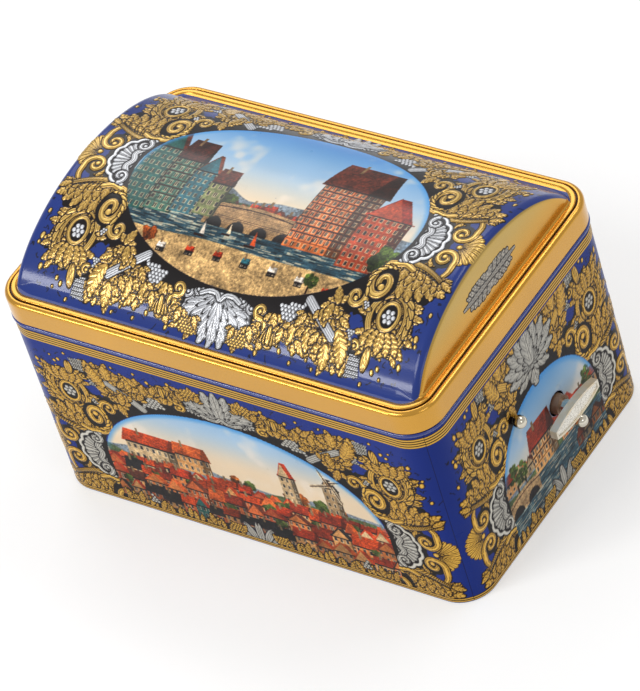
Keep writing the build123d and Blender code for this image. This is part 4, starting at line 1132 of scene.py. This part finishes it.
def make_plaques(material):
    """The long leaf embossed on each gold end."""
    u, v = np.meshgrid(np.arange(-17, 17.01, 0.2), np.arange(-4.4, 4.41, 0.2))
    layers = plaque.read(abs(u), v + 4.0)
    solid = layers["silver"] + layers["dark"]
    rgb, shine = printed(layers, LACQUER_GOLD, LID_GOLD, PLAQUE_SILVER)
    cell = solid[:-1, :-1] + solid[1:, 1:] + solid[:-1, 1:] + solid[1:, :-1]
    lean_in = (VAULT_FOOT_X - VAULT_TOP_X) / (CROWN_Z - SHELF_Z)
    for tag, side in (("right", 1), ("left", -1)):
        z = PLAQUE_Z + v
        x = VAULT_FOOT_X - (z - SHELF_Z) * lean_in + 0.04 + 0.35 * layers["high"] * np.clip(solid, 0, 1)
        points = np.stack([side * x, side * u, z], -1)
        panel("lid_end_leaf_" + tag, points, rgb, shine * 0.3, "lid", material, cell < 2.0)


# Body: printed skins on the wall's outside, their relief, their grid and the tone of their silver
SKIN_OUT = 0.03
SKIN_RELIEF = 0.27
SWELL = 1.3
HEM_IN = -0.05
WALL_STEP = 0.325
WALL_ROWS = ((0.15, 2.3, 0.13), (2.3, 76.7, 0.33), (76.7, 82.3, 0.12))
WALL_SILVER = (206, 202, 190)
# Gold bands and the height where the ornament below them ends
ORNAMENT_TOP_Z = 76.3
BAND_LOW_Z = 77.0
BAND_HIGH_Z = 81.4
BAND_LINE_W = 0.2
FOOT_BAND_Z = (0.3, 2.2)
SHORT_BAND_SHIFT = -0.12
# Half ovals of the pictures over their foot line, and how the lid's ornament is spread round them
FOOT_LINE_Z = 24.0
LONG_OVAL = (60.5, 36.2)
SHORT_OVAL = (30.9, 30.2)
SHORT_SHIFT = 2.3
SHORT_ART_X = 27.8
OVAL_TO_ART = 1.045
ART_UP = ((0, 36.2, 52, 58), (0, 39, 60, 66))
# On the short walls silver turns to gold within this distance of the middle and above this height
ROD_PLACE = (20, 24)
# Feet of the crest on the short walls and of the row of leaves round the foot
CREST_FOOT_Z = 52
ROW_FOOT_Z = 1.4


def wall_points(t, z, offset, side):
    """Points of a wall by the distance round it, with half of each corner."""
    length, depth, along, out = {
        "front": (BODY_W, BODY_D, (1, 0), (0, -1)),
        "right": (BODY_D, BODY_W, (0, 1), (1, 0)),
        "back": (BODY_W, BODY_D, (-1, 0), (0, 1)),
        "left": (BODY_D, BODY_W, (0, -1), (-1, 0)),
    }[side]
    half = length / 2 - CORNER_R
    turn = np.maximum(abs(t) - half, 0) / CORNER_R
    r = CORNER_R + offset
    u = np.sign(t) * (np.minimum(abs(t), half) + r * np.sin(turn))
    w = depth / 2 - CORNER_R + r * np.cos(turn)
    return np.stack([u * along[0] + w * out[0], u * along[1] + w * out[1], z], -1)


def bands(z):
    """Gold bands with dark lines between them, near the top and at the foot."""
    gold, dark, high = (np.zeros(z.shape) for _ in range(3))
    for low, top, count in ((BAND_LOW_Z, BAND_HIGH_Z, 4), (*FOOT_BAND_Z, 2)):
        t = (z - low) / (top - low) * count
        on = cover(z - low) * cover(top - z)
        line = cover(BAND_LINE_W - abs((t + 0.5) % 1 - 0.5) * (top - low) / count) * on
        gold = np.maximum(gold, on * (1 - line))
        dark = np.maximum(dark, line)
        # Painted shading: each band's tone is lighter along its middle, like light on its rounded face
        high = np.maximum(high, on * 0.35 * np.sqrt(np.clip(1 - (2 * (t % 1) - 1) ** 2, 0, 1)))
    return {"gold": gold, "silver": 0 * gold, "dark": dark, "tone": 0.55 + 0.9 * high, "high": high}


def wall_print(t, z, long, picture):
    """Colour, shine and height of a wall's print."""
    up = z - FOOT_LINE_Z
    if long:
        u, (a, b) = t, LONG_OVAL
        art_x = abs(u) / OVAL_TO_ART
        art_y = np.where(up > 0, np.interp(up, *ART_UP), -up)
    else:
        u, (a, b) = t - SHORT_SHIFT, SHORT_OVAL
        art_x = abs(u) + SHORT_ART_X
        art_y = abs(up)
    layers = quarter.read(np.minimum(art_x, 87), np.minimum(art_y, 64.5))
    edge = np.where(up > 0, oval_gap(u, up, a, b), abs(u) - a)
    blank = {name: 0 * z for name in layers}
    if not long:
        rods = (abs(u) < ROD_PLACE[0]) * (up > ROD_PLACE[1])
        layers["gold"] = layers["gold"] + layers["silver"] * rods
        layers["silver"] = layers["silver"] * (1 - rods)
        near_top = cover(3.0 - edge) * (abs(u) < 14) * (up > 0)
        layers = over(layers, {**blank, "dark": near_top * (art_y < 36)})
    mask = cover(-edge - 0.1)
    layers = cut_out(layers, mask)
    row = foot_row.read(np.minimum(abs(u), 61), np.clip(z - ROW_FOOT_Z, -0.9, 11.8))
    row = cut_out(row, (abs(u) > a - 1.5) * 1.0)
    top = blank if long else crest.read(np.minimum(abs(u), 17.5), np.clip(z - CREST_FOOT_Z, -0.9, 27.5))
    layers = cut_out(over(layers, top), cover(z - ORNAMENT_TOP_Z))
    layers = over(over(layers, row), bands(z - (0 if long else SHORT_BAND_SHIFT)))
    shown = mask * (1 - np.clip(layers["gold"] + layers["silver"] + layers["dark"], 0, 1))
    rgb, shine = printed(layers, BODY_BLUE, BODY_GOLD, WALL_SILVER)
    view = picture.read(u, up)
    rim = ease(edge, -3.0, 0) * ease(up, 0, 12) * 0.8
    view = mix(view, screen(PICTURE_RIM), rim[..., None])
    return mix(rgb, view, shown[..., None]), shine, layers["high"]


VIEWS = {"front": (valley_village, 2), "right": (village_pond, 3), "back": (valley_village, 5),
         "left": (village_pond, 8)}


def make_walls(material):
    """Skins of the four walls: the long ones in two halves, the right one with the key's hole."""
    z = np.concatenate([np.arange(*part) for part in WALL_ROWS])
    corner = CORNER_R * math.pi / 4
    for side in VIEWS:
        long = side in ("front", "back")
        reach = (BODY_W if long else BODY_D) / 2 - CORNER_R + corner
        spans = ((-reach, 0), (0, reach)) if long else ((-reach, reach),)
        view, seed = VIEWS[side]
        picture = view(seed)
        if side in ("back", "left"):
            picture.rgb = picture.rgb[:, ::-1]
        for number, (start, end) in enumerate(spans):
            gt, gz = np.meshgrid(np.linspace(start, end, int((end - start) / WALL_STEP)), z)
            rgb, shine, high = wall_print(gt, gz, long, picture)
            offset = SKIN_OUT + np.minimum(high * SWELL, 1) * SKIN_RELIEF
            offset[[0, -1]] = HEM_IN
            points = wall_points(gt, gz, offset, side)
            drop = None
            if side == "right":
                drop = key_hole(points)
                rgb[:, :1] = screen(DARK)
            name = "wall_print_" + side + ("" if len(spans) == 1 else ("_a", "_b")[number])
            panel(name, points, rgb, shine, "tin", material, drop)


def key_hole(points):
    """Leave a round hole for the key's sleeve, with its edge turned in."""
    dy, dz = points[..., 1] - KEY_YZ[0], points[..., 2] - KEY_YZ[1]
    r = np.hypot(dy, dz)
    out = r < KEY_HOLE_R
    drop = out[:-1, :-1] & out[:-1, 1:] & out[1:, 1:] & out[1:, :-1]
    k = np.where(out, KEY_HOLE_R / np.maximum(r, 1e-6), 1)
    points[..., 1] = KEY_YZ[0] + dy * k
    points[..., 2] = KEY_YZ[1] + dz * k
    points[..., 0] = np.where(out, BODY_W / 2 - 0.15, points[..., 0])
    return drop


# Materials: the wall is blue below this height, and the key's face is sunk below this distance out
BLUE_TOP_Z = 84.0
KEY_FIELD_X = 98.5


class Nodes:
    """A short way to build a shader's nodes."""

    def __init__(self, name):
        self.material = bpy.data.materials.new(name)
        self.material.use_nodes = True
        self.tree = self.material.node_tree
        self.shader = self.tree.nodes["Principled BSDF"]

    def add(self, kind, inputs=(), **settings):
        """A node with its settings and inputs: values, or sockets to link."""
        node = self.tree.nodes.new(kind)
        for key, value in settings.items():
            setattr(node, key, value)
        for key, value in dict(inputs).items():
            self.feed(node.inputs[key], value)
        return node

    def feed(self, socket, value):
        """Link a socket, or set its value."""
        if isinstance(value, bpy.types.NodeSocket):
            self.tree.links.new(value, socket)
        else:
            socket.default_value = value

    def noise(self, scale, detail=3.0, stretch=(1, 1, 1)):
        """Noise in the object's own space, 0 to 1."""
        spread = self.add("ShaderNodeMapping", {"Vector": self.place(), "Scale": stretch}).outputs[0]
        inputs = {"Vector": spread, "Scale": scale, "Detail": detail}
        return self.add("ShaderNodeTexNoise", inputs).outputs[0]

    def split(self, vector):
        """The three parts of a vector."""
        return self.add("ShaderNodeSeparateXYZ", {0: vector}).outputs

    def place(self):
        """A point in the object's own space."""
        return self.add("ShaderNodeTexCoord").outputs["Object"]

    def normal(self):
        """The surface's direction."""
        return self.add("ShaderNodeNewGeometry").outputs["Normal"]

    def calc(self, operation, a, b):
        """The result of a product, a test or a like step with two values."""
        return self.add("ShaderNodeMath", {0: a, 1: b}, operation=operation).outputs[0]

    def ranged(self, value, low, high, a=0.3, b=0.7):
        """A value moved from one range to another."""
        inputs = {"Value": value, "From Min": a, "From Max": b, "To Min": low, "To Max": high}
        return self.add("ShaderNodeMapRange", inputs).outputs[0]

    def blend(self, factor, a, b, how="MIX"):
        """Two colours mixed."""
        node = self.add("ShaderNodeMix", data_type="RGBA", blend_type=how)
        self.feed(node.inputs[0], factor)
        self.feed(node.inputs[6], a)
        self.feed(node.inputs[7], b)
        return node.outputs[2]

    def bump(self, height, distance, strength=0.4):
        """A bump from a height."""
        inputs = {"Height": height, "Distance": distance, "Strength": strength}
        self.feed(self.shader.inputs["Normal"], self.add("ShaderNodeBump", inputs).outputs[0])

    def set(self, **values):
        """Set the shader's sockets by name, with _ for a space."""
        for key, value in values.items():
            self.feed(self.shader.inputs[key.replace("_", " ")], value)
        return self


def print_material(name, gloss, coat):
    """Lacquered print: colour and metal from the mesh, faint wear and orange peel."""
    m = Nodes(name)
    colour = m.add("ShaderNodeAttribute", attribute_name="print").outputs["Color"]
    metal = m.add("ShaderNodeAttribute", attribute_name="metal").outputs["Fac"]
    patch = m.ranged(m.noise(28.0, 2.0), 0.93, 1.05)
    fine = m.ranged(m.noise(2600.0, 2.0), 0.985, 1.015)
    shade = m.calc("MULTIPLY", patch, fine)
    toned = m.add("ShaderNodeVectorMath", {0: colour, 3: shade}, operation="SCALE").outputs[0]
    uneven = m.ranged(m.noise(120.0), 0.9, 1.15)
    base = m.ranged(metal, 0.3, 0.22, 0.0, 0.45)
    m.set(Base_Color=toned, Metallic=metal, Roughness=m.calc("MULTIPLY", base, uneven))
    m.set(Specular_IOR_Level=gloss, Coat_Weight=coat, Coat_Roughness=0.12)
    m.bump(m.noise(160.0, 1.0), 0.000004, 0.1)
    return m.material


def metal_material(name, colour, roughness, grain=(1, 1, 1), scale=900.0, metallic=1.0, stain=None,
                   bump=0.00002):
    """Metal with brushed grain, uneven gloss and slight stains."""
    m = Nodes(name)
    stain = stain or tuple(c * 0.8 for c in colour)
    patch = m.ranged(m.noise(90.0), 0.0, 1.0)
    m.set(Base_Color=m.blend(patch, rgba(colour), rgba(stain)), Metallic=metallic)
    line = m.noise(scale, 2.0, grain)
    m.set(Roughness=m.ranged(line, roughness * 0.75, roughness * 1.3))
    m.bump(line, bump, 0.35)
    return m.material


def wall_material():
    """The wall itself: plain tin inside and on the neck, blue on the bead."""
    m = Nodes("tin_wall")
    x, y, z = m.split(m.place())
    flat = m.add("ShaderNodeCombineXYZ", {0: x, 1: y}).outputs[0]
    outward = m.add("ShaderNodeVectorMath", {0: m.normal(), 1: flat}, operation="DOT_PRODUCT").outputs[1]
    outside = m.calc("GREATER_THAN", outward, -0.0001)
    blue = m.calc("MULTIPLY", outside, m.calc("LESS_THAN", z, BLUE_TOP_Z * MM))
    patch = m.ranged(m.noise(60.0), 0.0, 1.0)
    tin = m.blend(patch, rgba((204, 204, 200)), rgba((184, 184, 182)))
    m.set(Base_Color=m.blend(blue, tin, rgba(BODY_BLUE)), Metallic=m.ranged(blue, 0.9, 0.0, 0.0, 1.0))
    m.set(Roughness=m.ranged(m.noise(120.0), 0.22, 0.28), Coat_Weight=0.8, Coat_Roughness=0.12)
    m.bump(m.noise(200.0, 1.0), 0.00001, 0.1)
    return m.material


def handle_material(nickel):
    """Nickel with a stippled field where the key's face is sunk."""
    m = Nodes("key_nickel")
    spot = m.place()
    pits = m.add("ShaderNodeTexVoronoi", {"Vector": spot, "Scale": 1900.0}).outputs["Distance"]
    sunk = m.calc("LESS_THAN", m.split(spot)[0], KEY_FIELD_X * MM)
    field = m.calc("MULTIPLY", sunk, m.calc("GREATER_THAN", m.split(m.normal())[0], 0.9))
    patch = m.ranged(m.noise(260.0), 0.0, 1.0)
    bright = m.blend(patch, rgba(nickel), rgba((226, 208, 172)))
    dull = m.blend(m.ranged(pits, 0.0, 1.0, 0.1, 0.6), rgba((176, 170, 156)), rgba((240, 236, 226)))
    m.set(Base_Color=m.blend(field, bright, dull), Metallic=m.ranged(field, 0.6, 0.85, 0.0, 1.0))
    m.set(Roughness=m.ranged(field, 0.42, 0.34, 0.0, 1.0))
    m.bump(m.calc("MULTIPLY", pits, field), 0.00015, 0.5)
    return m.material


def plastic_material(name, colour, roughness, tint):
    """Moulded plastic or rubber with a fine matte grain and uneven tint."""
    m = Nodes(name)
    m.set(Base_Color=m.blend(m.ranged(m.noise(160.0), 0.0, 1.0), rgba(colour), rgba(tint)))
    m.set(Roughness=m.ranged(m.noise(1500.0, 2.0), roughness * 0.85, roughness * 1.15))
    m.bump(m.noise(2200.0, 2.0), 0.00003, 0.3)
    return m.material


def paint_nodes():
    """Materials for the CAD nodes that stay in view."""
    nickel = (226, 222, 210)
    looks = {
        "plain_tinplate": metal_material("tinplate", (204, 204, 200), 0.3, (1, 6, 1), 500.0,
                                         stain=(190, 190, 187)),
        "hinge_steel": metal_material("gold_lacquered_steel", LACQUER_GOLD, 0.3, metallic=0.85,
                                      stain=(186, 138, 58)),
        "wire_steel": metal_material("drawn_wire", (198, 198, 196), 0.22, (1, 1, 8)),
        "nickel": metal_material("nickel_plate", nickel, 0.14, stain=(206, 198, 180)),
        "dark_sleeve": metal_material("oiled_tube", (172, 140, 112), 0.35, (8, 1, 1), metallic=0.5,
                                      stain=(132, 96, 76)),
        "rubber": plastic_material("rubber", (44, 44, 46), 0.75, (34, 34, 36)),
        "cast_zinc": metal_material("cast_zinc", (176, 178, 182), 0.45, scale=1600.0, bump=0.00006),
        "spring_case": metal_material("spring_case", (206, 206, 202), 0.26, (1, 1, 5)),
        "spring_steel": metal_material("spring_steel", (118, 128, 146), 0.3, (1, 7, 1), stain=(86, 92, 120)),
        "brass": metal_material("brass", (214, 176, 96), 0.28, (1, 5, 1), stain=(180, 138, 66)),
        "hard_steel": metal_material("hard_steel", (168, 168, 170), 0.32, (4, 1, 1)),
        "screw_steel": metal_material("screw_steel", (190, 190, 188), 0.3),
        "white_nylon": plastic_material("nylon", (238, 236, 226), 0.42, (226, 222, 208)),
        "cover_plastic": plastic_material("cover_plastic", (240, 238, 230), 0.3, (230, 226, 214)),
        "printed_tin": wall_material(),
        "printed_lid": metal_material("lid_lacquer", LACQUER_GOLD, 0.3, metallic=0.8),
    }
    slots = {s["node"]: s["material_slot"] for s in frame["record"]["subparts"]}
    for node, piece in frame["nodes"].items():
        piece.data.materials.clear()
        piece.data.materials.append(looks[slots[node]])
    frame["nodes"]["winding_key_handle"].data.materials[0] = handle_material(nickel)


# Camera, floor and light: lengths are in metres, and each soft box has a place, a size and watts
FLOOR_HALF = 6.0
FLOOR_DROP = 0.0002
LIGHT_AIM = Vector((0, 0, 0.05))
FLOOR_TONE = 0.62
FLOOR_GLOW = 0.4
WORLD_LIGHT = 0.6
SOFT_BOXES = (
    ("key_box", (-0.5, -1.1, 1.5), (0.7, 0.5), 9.0),
    ("low_box", (-0.95, -1.3, 0.8), (0.45, 0.25), 5.5),
    ("fill_box", (1.4, -0.5, 0.9), (0.5, 0.5), 1.8),
    ("back_box", (-1.1, 1.1, 1.5), (1.1, 0.9), 7.0),
    ("top_box", (0.4, 0.75, 1.4), (0.9, 0.3), 4.0),
)


def make_camera():
    """The photograph's view."""
    at, aim = Vector(CAMERA_AT) * MM, Vector(CAMERA_AIM) * MM
    ahead = (aim - at).normalized()
    level = ahead.cross(Vector((0, 0, 1))).normalized()
    level_up = level.cross(ahead)
    roll = math.radians(CAMERA_ROLL)
    right = level * math.cos(roll) + level_up * math.sin(roll)
    up = right.cross(ahead)
    camera = bpy.data.cameras.new("camera")
    camera.lens = CAMERA_LENS
    camera.sensor_width = SENSOR
    camera.clip_end = 30
    seat = bpy.data.objects.new("camera", camera)
    seat.matrix_world = Matrix((right, up, -ahead)).transposed().to_4x4()
    seat.location = at
    bpy.context.scene.collection.objects.link(seat)
    bpy.context.scene.camera = seat


def make_floor():
    """A pale floor that reads as white and keeps the tin's shadow."""
    m = Nodes("floor")
    tree = m.tree
    path = m.add("ShaderNodeLightPath").outputs
    seen = m.calc("MAXIMUM", path["Is Camera Ray"], path["Is Glossy Ray"])
    seen = m.calc("MAXIMUM", seen, path["Is Transmission Ray"])
    glow = m.calc("MULTIPLY", seen, FLOOR_GLOW)
    paper = m.add("ShaderNodeBsdfDiffuse", {"Color": (FLOOR_TONE, FLOOR_TONE, FLOOR_TONE, 1)})
    light = m.add("ShaderNodeEmission", {"Color": (1, 1, 1, 1), "Strength": glow})
    both = m.add("ShaderNodeAddShader", {0: paper.outputs[0], 1: light.outputs[0]})
    tree.links.new(both.outputs[0], tree.nodes["Material Output"].inputs["Surface"])
    mesh = bpy.data.meshes.new("floor")
    corners = [(x * FLOOR_HALF, y * FLOOR_HALF, 0) for x, y in ((-1, -1), (1, -1), (1, 1), (-1, 1))]
    mesh.from_pydata(corners, [], [(0, 1, 2, 3)])
    mesh.materials.append(m.material)
    floor = bpy.data.objects.new("floor", mesh)
    floor.location.z = -FLOOR_DROP
    bpy.context.scene.collection.objects.link(floor)


def make_light():
    """A pale world and the soft boxes."""
    world = bpy.data.worlds.new("studio")
    world.use_nodes = True
    bpy.context.scene.world = world
    tree = world.node_tree
    back = tree.nodes["Background"]
    back.inputs["Color"].default_value = (1, 1, 1, 1)
    path = tree.nodes.new("ShaderNodeLightPath").outputs
    first = tree.nodes.new("ShaderNodeMath")
    first.operation = "MAXIMUM"
    tree.links.new(path["Is Camera Ray"], first.inputs[0])
    tree.links.new(path["Is Transmission Ray"], first.inputs[1])
    level = tree.nodes.new("ShaderNodeMapRange")
    level.inputs["To Min"].default_value = WORLD_LIGHT
    level.inputs["To Max"].default_value = 1.0
    tree.links.new(first.outputs[0], level.inputs["Value"])
    tree.links.new(level.outputs[0], back.inputs["Strength"])
    for name, place, size, power in SOFT_BOXES:
        data = bpy.data.lights.new(name, "AREA")
        data.shape = "RECTANGLE"
        data.size, data.size_y = size
        data.energy = power
        lamp = bpy.data.objects.new(name, data)
        lamp.location = place
        lamp.rotation_euler = (LIGHT_AIM - Vector(place)).to_track_quat("-Z", "Y").to_euler()
        bpy.context.scene.collection.objects.link(lamp)


make_lid(print_material("lid_print", 0.12, 0.45))
make_walls(print_material("wall_print", 0.12, 0.0))
paint_nodes()
make_camera()
make_floor()
make_light()
bpy.context.scene.view_settings.view_transform = "Standard"
